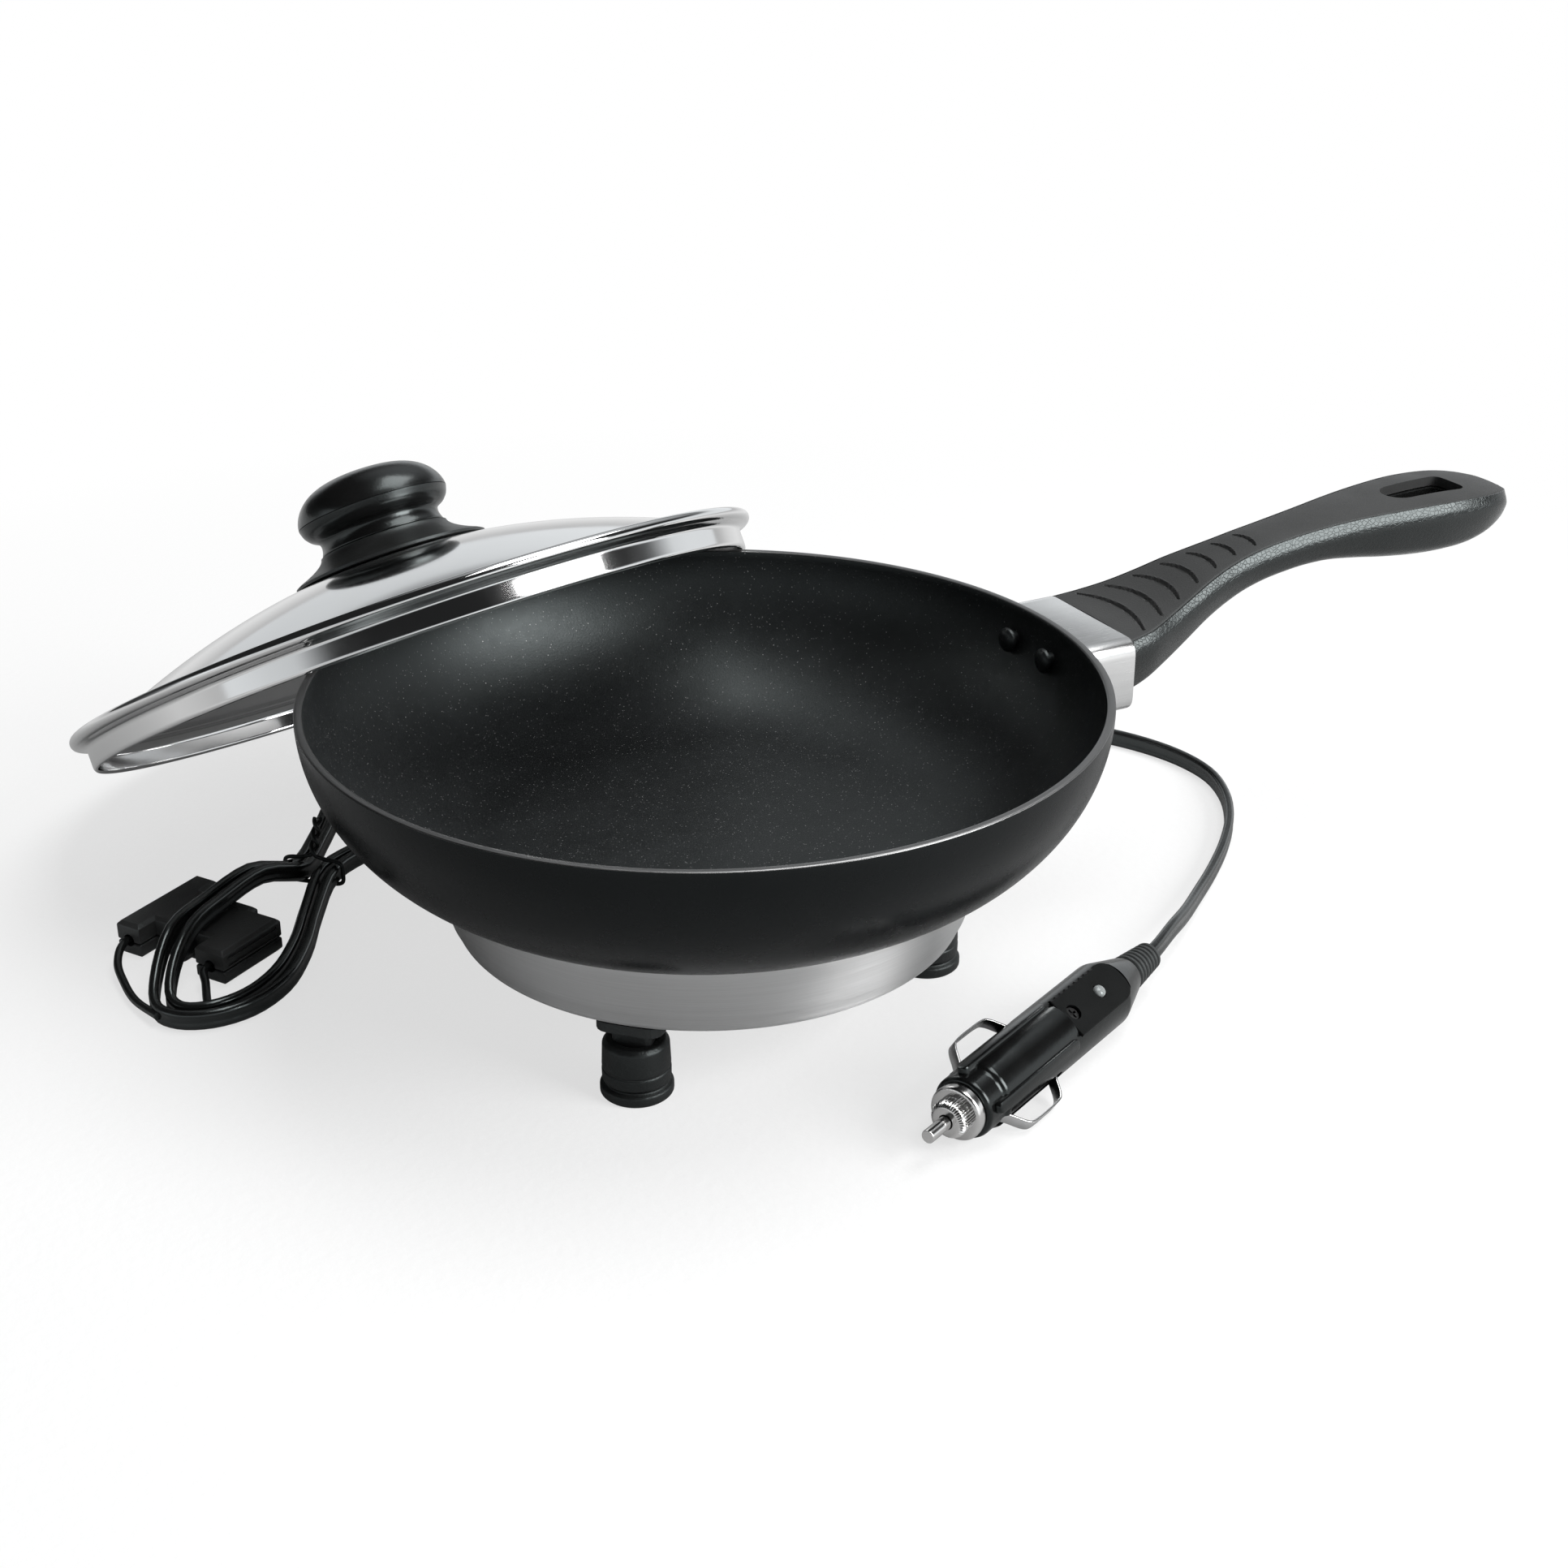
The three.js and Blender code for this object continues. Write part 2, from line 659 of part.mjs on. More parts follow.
function makeFeet() {
  const plateTop = housingBottom - seatGap;
  const plateLow = plateTop - footPlateThickness;
  const socketFloor = footHeight - footSocketDepth;
  const bossEnd = coverTop + seatGap;
  footAngles.forEach((angle, i) => {
    const foot = new THREE.Group();
    const place = onFootCircle(angle);
    foot.position.set(place.x, place.y, 0);
    foot.rotation.z = THREE.MathUtils.degToRad(angle);
    root.add(foot);

    const plateOutline = roundedOutline(footPlateLength, footPlateWidth, footPlateLength / 4);
    const plate = slab(plateOutline, plateLow, plateTop, plateSegments);
    const neckOutline = roundedOutline(footNeckLength, footNeckWidth, footNeckLength / 6);
    const neck = slab(neckOutline, socketFloor + seatGap, plateLow + footPlateThickness / 2, neckSegments);
    const screwWay = rod(footScrewRadius + seatGap, 0, plateTop + cutOverrun, holeSegments);
    const bracket = solid(plate).add(solid(neck)).subtract(solid(screwWay));
    part(`foot_bracket_${i + 1}`, bracket, gripBlack, foot);

    const groove = footGrooveHeight;
    const profile = [
      v2(0, 0),
      v2(footLipRadius - footGrooveDepth, 0),
      v2(footLipRadius, footGrooveDepth),
      v2(footLipRadius, groove - footGrooveDepth),
      v2(footTopRadius - footGrooveDepth, groove),
      v2(footTopRadius, groove + footGrooveDepth),
      v2(footTopRadius, footHeight - footGrooveDepth * 2),
      v2(footTopRadius - footGrooveDepth * 2, footHeight),
      v2(0, footHeight),
    ];
    const socketLength = footNeckLength + seatGap * 2;
    const socketWidth = footNeckWidth + seatGap * 2;
    const socketOutline = roundedOutline(socketLength, socketWidth, footNeckLength / 6);
    const socket = slab(socketOutline, socketFloor, footHeight + cutOverrun, neckSegments);
    const recess = rod(footScrewHeadRadius + seatGap, -cutOverrun, footRecessDepth, smallSegments);
    const through = rod(footScrewRadius + seatGap, 0, footHeight, holeSegments);
    let cup = solid(turned(profile, cupSegments)).subtract(solid(socket));
    cup = cup.subtract(solid(recess)).subtract(solid(through));
    part(`foot_cup_${i + 1}`, cup, rubberBlack, foot);

    const headLow = footRecessDepth - seatGap - footScrewHeadHeight;
    const head = rod(footScrewHeadRadius, headLow, headLow + footScrewHeadHeight, headSegments);
    const shankLow = headLow + footScrewHeadHeight / 2;
    const shank = rod(footScrewRadius, shankLow, bossEnd + footScrewReach, shankSegments);
    part(`foot_screw_${i + 1}`, solid(head).add(solid(shank)), zincSteel, foot);
  });
}

// Heater stack

const upperMicaTop = panBaseHeight - seatGap;
const elementTop = upperMicaTop - micaThickness - seatGap;
const lowerMicaTop = elementTop - elementThickness - seatGap;
const padTop = lowerMicaTop - micaThickness - seatGap;
const clampTop = padTop - padThickness - seatGap;
const clampLow = clampTop - clampThickness;

function washer(outer, inner, low, high, segments) {
  const profile = [v2(inner, low), v2(outer, low), v2(outer, high), v2(inner, high), v2(inner, low)];
  return turned(profile, segments);
}

function makeHeater() {
  const micaSheet = (top) => washer(micaRadius, stackHoleRadius, top - micaThickness, top, discSegments);
  part('mica_sheet_upper', micaSheet(upperMicaTop), mica);
  part('mica_sheet_lower', micaSheet(lowerMicaTop), mica);
  const pad = washer(micaRadius, stackHoleRadius, padTop - padThickness, padTop, discSegments);
  part('insulation_pad', pad, ceramicFelt);

  // The resistance ribbon is one flat spiral
  const stepsPerTurn = 20;
  const steps = elementTurns * stepsPerTurn;
  const ribbon = [];
  for (let i = 0; i <= steps; i += 1) {
    const along = i / steps;
    const angle = 2 * Math.PI * elementTurns * along;
    const middle = elementInnerRadius + (elementOuterRadius - elementInnerRadius) * along;
    const corner = (radius, height) => v3(radius * Math.cos(angle), radius * Math.sin(angle), height);
    const half = elementRibbonWidth / 2;
    ribbon.push([
      corner(middle - half, elementTop - elementThickness),
      corner(middle + half, elementTop - elementThickness),
      corner(middle + half, elementTop),
      corner(middle - half, elementTop),
    ]);
  }
  part('heating_element', loft(ribbon, (point) => v2(point.x, point.z)), resistance);

  const ribHalf = clampRibHeight * 2;
  const clampHole = clampScrewRadius + seatGap;
  const clampProfile = [
    v2(clampHole, clampLow),
    v2(clampRibRadius - ribHalf, clampLow),
    v2(clampRibRadius, clampLow - clampRibHeight),
    v2(clampRibRadius + ribHalf, clampLow),
    v2(clampRadius, clampLow),
    v2(clampRadius, clampTop),
    v2(clampHole, clampTop),
    v2(clampHole, clampLow),
  ];
  part('clamp_plate', turned(clampProfile, discSegments), zincSteel);

  const headTop = clampLow - seatGap;
  const head = rod(clampScrewHeadRadius, headTop - clampScrewHeadHeight, headTop, headSegments);
  const shank = rod(clampScrewRadius, headTop - clampScrewHeadHeight / 2, panBaseHeight, shankSegments);
  part('clamp_screw', solid(head).add(solid(shank)), zincSteel);
}

// Cut-out, terminals and the inner end of the lead

const glandDirection = v3(Math.cos(glandAngle), Math.sin(glandAngle), 0);
const housingSlope = (housingTopRadius - housingBottomRadius) / (housingTop - housingBottom);
const housingRadiusAtGland = housingBottomRadius + housingSlope * (glandHeight - housingBottom);

const glandSlack = seatGap + (housingTopRadius - housingBottomRadius) / 4;
const glandOutside = housingRadiusAtGland + glandSlack;
const glandTip = glandOutside + glandReliefLength;
const glandMouth = glandDirection.clone().setLength(glandTip).setZ(glandHeight);
const hankCentre = v3(glandMouth.x + hankOffset.x, glandMouth.y + hankOffset.y, 0);
const fuseBoxPlace = v3(hankCentre.x + fuseBoxOffset.x, hankCentre.y + fuseBoxOffset.y, 0);

function makeControls() {
  const cutoutTop = clampLow - clampRibHeight - seatGap;
  const cutoutLow = cutoutTop - cutoutHeight;
  const can = rod(cutoutRadius, cutoutLow, cutoutTop, cupSegments);
  const tabs = block(
    v3(-cutoutTabReach, -cutoutTabWidth / 2, cutoutTop - cutoutTabWidth / 4),
    v3(cutoutTabReach, cutoutTabWidth / 2, cutoutTop - seatGap),
  );
  const cutout = solid(can).add(solid(tabs)).translate([cutoutPlace.x, cutoutPlace.y, 0]);
  part('thermal_cutout', cutout, zincSteel);

  const group = new THREE.Group();
  group.rotation.z = glandAngle;
  root.add(group);
  const low = coverTop + seatGap;
  const inner = blockRadialPlace;
  const bodyEnd = v3(inner + blockWidth, blockLength / 2, low + blockHeight);
  const body = block(v3(inner, -blockLength / 2, low), bodyEnd);
  const wellTop = low + blockHeight + cutOverrun;
  const well = (side) => rod(blockWidth / 4, low + blockHeight / 2, wellTop, holeSegments)
    .translate(inner + blockWidth / 2, (side * blockLength) / 4, 0);
  part('terminal_block', solid(body).subtract(solid(well(-1))).subtract(solid(well(1))), ceramic, group);
}

// Gland: a turned strain relief through the housing wall

function makeGland() {
  const group = new THREE.Group();
  group.position.set(0, 0, glandHeight);
  group.quaternion.setFromUnitVectors(v3(0, 0, 1), glandDirection);
  root.add(group);
  const outside = glandOutside;
  const inside = housingRadiusAtGland - housingSheet - glandSlack;
  const points = [
    v2(0, inside - glandInnerReach),
    v2(glandNeckRadius, inside - glandInnerReach),
    v2(glandNeckRadius, outside),
    v2(glandFlangeRadius, outside),
    v2(glandFlangeRadius, outside + glandFlangeThickness),
  ];
  const reliefStart = outside + glandFlangeThickness;
  const pitch = (glandReliefLength - glandFlangeThickness) / glandRingCount;
  for (let i = 0; i < glandRingCount; i += 1) {
    const along = i / glandRingCount;
    const radius = glandReliefBase + (glandReliefTip - glandReliefBase) * along;
    points.push(v2(radius - glandRingDepth, reliefStart + pitch * i));
    points.push(v2(radius, reliefStart + pitch * i + pitch / 3));
    points.push(v2(radius, reliefStart + pitch * (i + 1) - pitch / 3));
  }
  points.push(v2(glandReliefTip - glandRingDepth, glandTip), v2(0, glandTip));
  part('cord_gland', turned(points, smallSegments), rubberBlack, group);
}

// Handle, a moulded grip whose sizes follow its length

const gripStart = collarEnd + seatGap;

function shareAt(shares, x) {
  const along = (x - gripStart) / (handleLength - gripStart);
  const last = handleStationShares.length - 1;
  const k = Math.min(Math.max(handleStationShares.findIndex((s) => s > along) - 1, 0), last - 1);
  const i = along >= 1 ? last - 1 : k;
  const step = (along - handleStationShares[i]) / (handleStationShares[i + 1] - handleStationShares[i]);
  return shares[i] + (shares[i + 1] - shares[i]) * Math.min(step, 1);
}
const gripHalfWidth = (x) => collarHalfWidth * shareAt(handleHalfWidthShares, x);
const gripTop = (x) => handleFold + handleRise * shareAt(handleTopShares, x);
const gripThickness = (x) => (collarDepth - collarSheet) * shareAt(handleThicknessShares, x);
const gripX = (share) => gripStart + (handleLength - gripStart) * share;

function gripSection(x) {
  const half = gripHalfWidth(x);
  const top = gripTop(x);
  const low = top - gripThickness(x);
  const seam = Math.max(half - insertMargin, half / 2);
  const pocket = seam + seatGap;
  const floor = Math.max(top - insertThickness - seatGap, low + gripThickness(x) / 3);
  const crease = Math.max(top - insertBevelDrop, low + gripThickness(x) / 2);
  const right = [
    v3(x, pocket, floor),
    v3(x, pocket, top - insertThickness / 4),
    v3(x, pocket + insertMargin / 6, top - insertThickness / 4),
    v3(x, half, crease),
    v3(x, half * 0.95, (crease * 2 + low) / 3),
    v3(x, half * 0.82, (crease + low * 4) / 5),
    v3(x, half * 0.5, low),
  ];
  const left = right.map((point) => v3(point.x, -point.y, point.z)).reverse();
  return [...right, ...left];
}

// The hole to hang it by: round towards the pan, square towards the tip
function hangHole(grow, low, high) {
  const half = hangHoleHalfWidth - grow;
  const start = hangHoleStart + grow + half;
  const end = hangHoleEnd - grow;
  const corner = half / 3;
  const shape = new THREE.Shape();
  shape.absarc(start, 0, half * 0.85, Math.PI / 2, (3 * Math.PI) / 2, false);
  shape.lineTo(end - corner, -half);
  shape.absarc(end - corner, -half + corner, corner, -Math.PI / 2, 0, false);
  shape.absarc(end - corner, half - corner, corner, 0, Math.PI / 2, false);
  return solid(slab(shape, low, high, endSegments));
}

function makeHandle() {
  const rings = handleStationShares.map((share) => gripSection(gripX(share)));
  let body = solid(loft(rings, (point) => v2(point.y, point.z)));
  const low = handleFold - collarDepth * 2;
  const high = handleFold + collarDepth * 2;
  body = body.subtract(hangHole(hangHoleStep, low, high));
  const socket = block(
    v3(gripStart - cutOverrun, -tongueWidth / 2 - seatGap, tongueHeight - seatGap),
    v3(tongueEnd + seatGap, tongueWidth / 2 + seatGap, tongueHeight + tongueThickness + seatGap),
  );
  body = body.subtract(solid(socket));
  const screwLow = gripTop(handleScrewPlace) - gripThickness(handleScrewPlace);
  const screwWay = rod(handleScrewRadius + seatGap, low, tongueHeight + cutOverrun, headSegments);
  const headSeat = screwLow + handleScrewHeadHeight + seatGap * 2;
  const headWay = rod(handleScrewHeadRadius + seatGap, low, headSeat, headSegments);
  body = body.subtract(solid(screwWay.translate(handleScrewPlace, 0, 0)));
  body = body.subtract(solid(headWay.translate(handleScrewPlace, 0, 0)));
  part('handle_body', body, gripBlack);

  const headTop = headSeat - seatGap;
  const head = rod(handleScrewHeadRadius, headTop - handleScrewHeadHeight, headTop, headSegments);
  const shankEnd = tongueHeight + tongueThickness / 2;
  const shank = rod(handleScrewRadius, headTop - seatGap, shankEnd, headSegments);
  const screw = solid(head).add(solid(shank)).translate([handleScrewPlace, 0, 0]);
  part('handle_screw', screw, zincSteel);

  // The smooth top insert, with slits that bow towards the tip
  const stations = handleStationShares.slice(0, -1).map(gripX);
  let insert = solid(loft(stations.map((x) => {
    const half = Math.max(gripHalfWidth(x) - insertMargin, gripHalfWidth(x) / 2);
    const top = gripTop(x);
    const floor = Math.max(top - insertThickness, top - gripThickness(x) * 0.6);
    return [
      v3(x, half, floor),
      v3(x, half, top - insertThickness / 4),
      v3(x, half * 0.7, top - insertThickness / 12),
      v3(x, 0, top),
      v3(x, -half * 0.7, top - insertThickness / 12),
      v3(x, -half, top - insertThickness / 4),
      v3(x, -half, floor),
    ];
  }), (point) => v2(point.y, point.z)));
  for (let i = 0; i < grooveCount; i += 1) {
    const x = grooveFirst + groovePitch * i;
    const seam = gripHalfWidth(x) - insertMargin;
    const reach = seam * (0.9 - 0.045 * i);
    const bow = grooveBow * (reach / collarHalfWidth);
    const steps = 6;
    const slit = [];
    for (let k = 0; k <= steps; k += 1) {
      const across = -1 + (2 * k) / steps;
      const centre = x + bow * (1 - across * across) - bow / 2;
      const y = reach * across;
      const top = gripTop(centre);
      const half = (grooveWidth / 2) * Math.sqrt(1 - across * across * 0.8);
      slit.push([
        v3(centre - half, y, top - grooveDepth),
        v3(centre + half, y, top - grooveDepth),
        v3(centre + half, y, top + cutOverrun),
        v3(centre - half, y, top + cutOverrun),
      ]);
    }
    insert = insert.subtract(solid(loft(slit, (point) => v2(point.x, point.z))));
  }
  insert = insert.subtract(hangHole(0, low, high));
  part('handle_top_insert', insert, insertGrey);
}

function makeCollar() {
  const depth = collarDepth;
  const middle = handleFold - depth / 2;
  const outline = (inset) => {
    const half = collarHalfWidth - inset;
    return roundedOutline(half * 2, depth - inset * 2, Math.max(collarCornerRadius - inset, collarSheet));
  };
  const sleeve = (inset, start, end) => {
    const geometry = slab(outline(inset), start, end, gripSegments);
    // The outline's x turns to y and its y to z, so the sleeve runs along +X
    return geometry.applyMatrix4(new THREE.Matrix4().set(
      0, 0, 1, 0,
      1, 0, 0, 0,
      0, 1, 0, middle,
      0, 0, 0, 1,
    ));
  };
  let collar = solid(sleeve(0, collarStart, collarEnd));
  collar = collar.subtract(solid(sleeve(collarSheet, collarStart - cutOverrun, collarEnd + cutOverrun)));
  collar = collar.subtract(bowlCutter(seatGap));
  part('handle_collar', collar, collarSteel);

  // The bracket's pad follows the bowl and its tongue runs into the grip
  const pad = block(
    v3(collarStart - bracketThickness, -bracketWidth / 2, bracketBottom),
    v3(rimRadius + bracketThickness, bracketWidth / 2, bracketTop),
  );
  let bracket = solid(pad).intersect(bowlCutter(seatGap + bracketThickness));
  const tongue = block(
    v3(collarStart, -tongueWidth / 2, tongueHeight),
    v3(tongueEnd, tongueWidth / 2, tongueHeight + tongueThickness),
  );
  bracket = bracket.add(solid(tongue)).subtract(bowlCutter(seatGap));
  const holeLow = tongueHeight - cutOverrun;
  const holeTop = tongueHeight + tongueThickness + cutOverrun;
  const hole = rod(handleScrewRadius + seatGap, holeLow, holeTop, headSegments);
  bracket = bracket.subtract(solid(hole.translate(handleScrewPlace, 0, 0)));
  [-1, 1].forEach((side) => {
    bracket = bracket.subtract(rivetHole(side, rivetRadius + seatGap));
  });
  part('handle_bracket', bracket, zincSteel);

  // Rivets join the bracket to the pan, with a domed head inside
  [-1, 1].forEach((side, i) => {
    const wall = wallRadiusAt(rivetHeight);
    const drop = rivetHeadHeight;
    const inner = wall - panWall * 2 - seatGap;
    const outer = wall + bracketThickness * 1.5 + seatGap;
    const profile = [
      v2(0, inner - drop),
      v2(rivetHeadRadius * 0.55, inner - drop * 0.8),
      v2(rivetHeadRadius * 0.9, inner - drop * 0.35),
      v2(rivetHeadRadius, inner),
      v2(rivetRadius, inner),
      v2(rivetRadius, outer),
      v2(rivetHeadRadius * 0.8, outer),
      v2(rivetHeadRadius * 0.6, outer + drop / 2),
      v2(0, outer + drop / 2),
    ];
    const rivet = aimed(turned(profile, headSegments), rivetDirection(side), v3(0, 0, rivetHeight));
    part(`handle_rivet_${i + 1}`, rivet, nonStick);
  });
}

// Loose lid: its skirt rests across the rim and on the table behind the pan

// The lid's lowest skirt edge is on the table while the rim crosses the skirt this far uphill
const uphill = lidSkirtRadius * lidTouchShare;
const lidTilt = Math.asin((rimHeight + rimEdgeRadius) / (uphill + lidSkirtRadius - lidSheet));

// Where the middle of the leaning lid's bead stands
function lidCentre() {
  const [sin, cos] = [Math.sin(lidTilt), Math.cos(lidTilt)];
  const height = (lidSkirtRadius - lidSheet) * sin + lidSkirtDepth * cos + lidRestGap;
  const halfChord = Math.sqrt(lidSkirtRadius ** 2 - uphill ** 2);
  const chordPlace = Math.sqrt((rimRadius + lidRestGap) ** 2 - halfChord ** 2);
  const out = chordPlace + uphill * cos + lidSkirtDepth * sin;
  return v3(out * Math.cos(lidLean), out * Math.sin(lidLean), height);
}

const domeHeight = (radius) => lidDomeEdgeRise
  + (lidDomeRise - lidDomeEdgeRise) * (1 - (radius / lidDomeRadius) ** 2);

function makeLid() {
  const lid = new THREE.Group();
  lid.position.copy(lidCentre());
  const normal = v3(
    Math.sin(lidTilt) * Math.cos(lidLean),
    Math.sin(lidTilt) * Math.sin(lidLean),
    Math.cos(lidTilt),
  );
  lid.quaternion.setFromUnitVectors(v3(0, 0, 1), normal);
  root.add(lid);

  const domeSteps = 4;
  const domeRadii = [];
  for (let i = 0; i <= domeSteps; i += 1) {
    domeRadii.push(lidHoleRadius + (lidDomeRadius - lidHoleRadius) * (i / domeSteps));
  }
  const bead = lidBeadThickness;
  const beadCentre = lidBeadRadius - bead;
  const beadTop = [];
  const beadSteps = 5;
  for (let i = 0; i <= beadSteps; i += 1) {
    const angle = Math.PI * (0.62 - 1.12 * (i / beadSteps));
    beadTop.push(v2(beadCentre + bead * Math.cos(angle), bead * Math.sin(angle)));
  }
  const roll = lidSheet;
  const skirt = [
    v2(lidSkirtRadius, -bead - roll),
    v2(lidSkirtRadius, -lidSkirtDepth + roll),
    v2(lidSkirtRadius - roll, -lidSkirtDepth),
    v2(lidSkirtRadius - roll * 2, -lidSkirtDepth + roll),
    v2(lidSkirtRadius - roll * 1.6, -bead - roll * 2),
    v2(lidDomeRadius + roll, -bead + roll),
  ];
  const outer = domeRadii.map((radius) => v2(radius, domeHeight(radius)));
  const inner = domeRadii.map((radius) => v2(radius, domeHeight(radius) - lidSheet)).reverse();
  const profile = [...outer, ...beadTop, ...skirt, ...inner];
  profile.push(profile[0].clone());
  part('lid_shell', turned(profile, panSegments), polishedSteel, lid);

  // The knob's base flares out onto the dome
  const seat = domeHeight(0) + seatGap;
  const baseLow = domeHeight(knobBaseRadius) + seatGap;
  const baseTop = seat + knobBaseRise;
  const flare = [];
  const flareSteps = 4;
  for (let i = 0; i <= flareSteps; i += 1) {
    const along = i / flareSteps;
    const radius = knobBaseTopRadius + (knobBaseRadius - knobBaseTopRadius) * (1 - along) ** 1.7;
    flare.push(v2(radius, baseLow + knobBaseEdge + (baseTop - baseLow - knobBaseEdge) * along));
  }
  const bore = knobScrewRadius + seatGap;
  const baseProfile = [
    v2(bore, seat),
    v2(knobBaseRadius / 2, domeHeight(knobBaseRadius / 2) + seatGap),
    v2(knobBaseRadius - knobBaseEdge / 2, domeHeight(knobBaseRadius - knobBaseEdge / 2) + seatGap),
    v2(knobBaseRadius, baseLow + knobBaseEdge / 2),
    ...flare,
    v2(bore, baseTop),
    v2(bore, seat),
  ];
  part('knob_base', turned(baseProfile, knobSegments), knobMatte, lid);

  const neckLow = baseTop + seatGap;
  const gripLow = neckLow + knobNeckRise;
  const grip = knobGripRise;
  const seam = knobBaseEdge / 4;
  const seamHeight = gripLow + grip * 0.3;
  const knobProfile = [
    v2(bore, neckLow),
    v2(knobNeckRadius + seam * 3, neckLow),
    v2(knobNeckRadius, neckLow + knobNeckRise / 2),
    v2(knobNeckRadius + seam, gripLow - seam),
    v2(knobRadius * 0.9, gripLow + grip * 0.06),
    v2(knobRadius * 0.975, gripLow + grip * 0.18),
    v2(knobRadius, seamHeight - seam),
    v2(knobRadius - seam, seamHeight),
    v2(knobRadius, seamHeight + seam),
    v2(knobRadius * 0.985, gripLow + grip * 0.55),
    v2(knobRadius * 0.92, gripLow + grip * 0.75),
    v2(knobRadius * 0.78, gripLow + grip * 0.9),
    v2(knobRadius * 0.5, gripLow + grip * 0.98),
    v2(0, gripLow + grip),
    v2(0, seat + knobScrewReach + seatGap),
    v2(bore, seat + knobScrewReach + seatGap),
    v2(bore, neckLow),
  ];
  part('lid_knob', turned(knobProfile, knobSegments), knobBlack, lid);

  const under = domeHeight(knobWasherRadius) - lidSheet - seatGap;
  const washerLow = under - knobWasherThickness;
  part('knob_washer', washer(knobWasherRadius, bore, washerLow, under, smallSegments), zincSteel, lid);
  const headTop = washerLow - seatGap;
  const head = rod(knobScrewHeadRadius, headTop - knobScrewHeadHeight, headTop, headSegments);
  const shankLow = headTop - knobScrewHeadHeight / 2;
  const shank = rod(knobScrewRadius, shankLow, seat + knobScrewReach, headSegments);
  part('knob_screw', solid(head).add(solid(shank)), zincSteel, lid);
}

// Lead: a flat twin cord that lies on edge

function cordSection() {
  const [w, t] = [cordWidth / 2, cordThickness / 2];
  return [
    v2(0, w), v2(t, w * 0.55), v2(t, -w * 0.55), v2(0, -w), v2(-t, -w * 0.55), v2(-t, w * 0.55),
  ];
}

function roundSection(radius, sides) {
  const points = [];
  for (let k = 0; k < sides; k += 1) {
    const angle = (2 * Math.PI * k) / sides;
    points.push(v2(radius * Math.cos(angle), radius * Math.sin(angle)));
  }
  return points;
}

// Rings of a section along a route, kept upright: x to the route's side and y up
function upright(points, section) {
  return points.map((point, i) => {
    const before = points[Math.max(i - 1, 0)];
    const after = points[Math.min(i + 1, points.length - 1)];
    const along = after.clone().sub(before).normalize();
    const side = v3(0, 0, 1).cross(along).normalize();
    const up = along.clone().cross(side);
    return section.map((corner) => point.clone()
      .addScaledVector(side, corner.x).addScaledVector(up, corner.y));
  });
}

function alongRoute(points, section) {
  return loft(upright(points, section), (point, corner) => section[corner]);
}

const smoothStep = (x) => {
  const t = Math.min(Math.max(x, 0), 1);
  return t * t * (3 - 2 * t);
};

// The hank's middle line at a turn angle: drawn in at the waist, spiralling outward, and lifted
// where its far runs pass over the fuse box
function hankLocal(angle) {
  const inset = (hankPitch * (hankEnd - angle)) / (2 * Math.PI);
  const waist = (hankPitch * (angle - hankStart)) / (2 * Math.PI);
  const lobe = hankLobeHalfWidth - inset;
  const u = (hankHalfLength - inset) * Math.cos(angle);
  const spread = Math.sin(2 * angle) ** 2;
  const across = Math.sqrt(lobe ** 2 * spread + waist ** 2 * Math.sin(angle) ** 2);
  const drift = u < 0 ? hankLobeDrift * spread : 0;
  const v = Math.sign(Math.sin(angle)) * across - drift;
  const overBox = smoothStep((-u - hankRiseStart) / hankRiseLength)
    * (1 - smoothStep((-u - hankFallStart) / hankFallLength));
  const lift = v + drift > 0 ? overBox * (fuseBoxHeight + seatGap * 2) : 0;
  const tieLift = hankTieLift * Math.exp(-((u / hankTieSpan) ** 2));
  return v3(u, v, hankTableGap + cordWidth / 2 + Math.max(lift, tieLift));
}

function hankPoint(angle) {
  return hankLocal(angle).applyAxisAngle(v3(0, 0, 1), hankAngle).add(hankCentre);
}

const hankRoute = [];
const hankSteps = Math.round((hankEnd - hankStart) / hankStepAngle);
for (let i = 0; i <= hankSteps; i += 1) {
  hankRoute.push(hankPoint(hankStart + ((hankEnd - hankStart) * i) / hankSteps));
}

// Adds a straight stub as long as the cord is thick, past one end of a route
function withStub(points, end) {
  const last = end ? points[points.length - 1] : points[0];
  const before = end ? points[points.length - 2] : points[1];
  const stub = last.clone().add(last.clone().sub(before).setLength(cordThickness));
  return end ? [...points, stub] : [stub, ...points];
}
const hankLine = withStub(withStub(hankRoute, true), false);

// The least clear distance between two passes of the hank, and the length of cord in it
function measureHank() {
  const fine = [];
  const count = hankSteps * 6;
  for (let i = 0; i <= count; i += 1) {
    fine.push(hankPoint(hankStart + ((hankEnd - hankStart) * i) / count));
  }
  let gap = Infinity;
  let length = 0;
  const skip = Math.round((count * Math.PI) / 2 / (hankEnd - hankStart));
  for (let i = 0; i < fine.length; i += 1) {
    if (i > 0) length += fine[i].distanceTo(fine[i - 1]);
    for (let j = i + skip; j < fine.length; j += 1) {
      const level = Math.abs(fine[i].z - fine[j].z);
      const flat = Math.hypot(fine[i].x - fine[j].x, fine[i].y - fine[j].y);
      const clear = Math.max(level - cordWidth, flat - cordThickness);
      gap = Math.min(gap, clear);
    }
  }
  return { gap, length };
}

function routeLength(points) {
  return points.slice(1).reduce((sum, point, i) => sum + point.distanceTo(points[i]), 0);
}

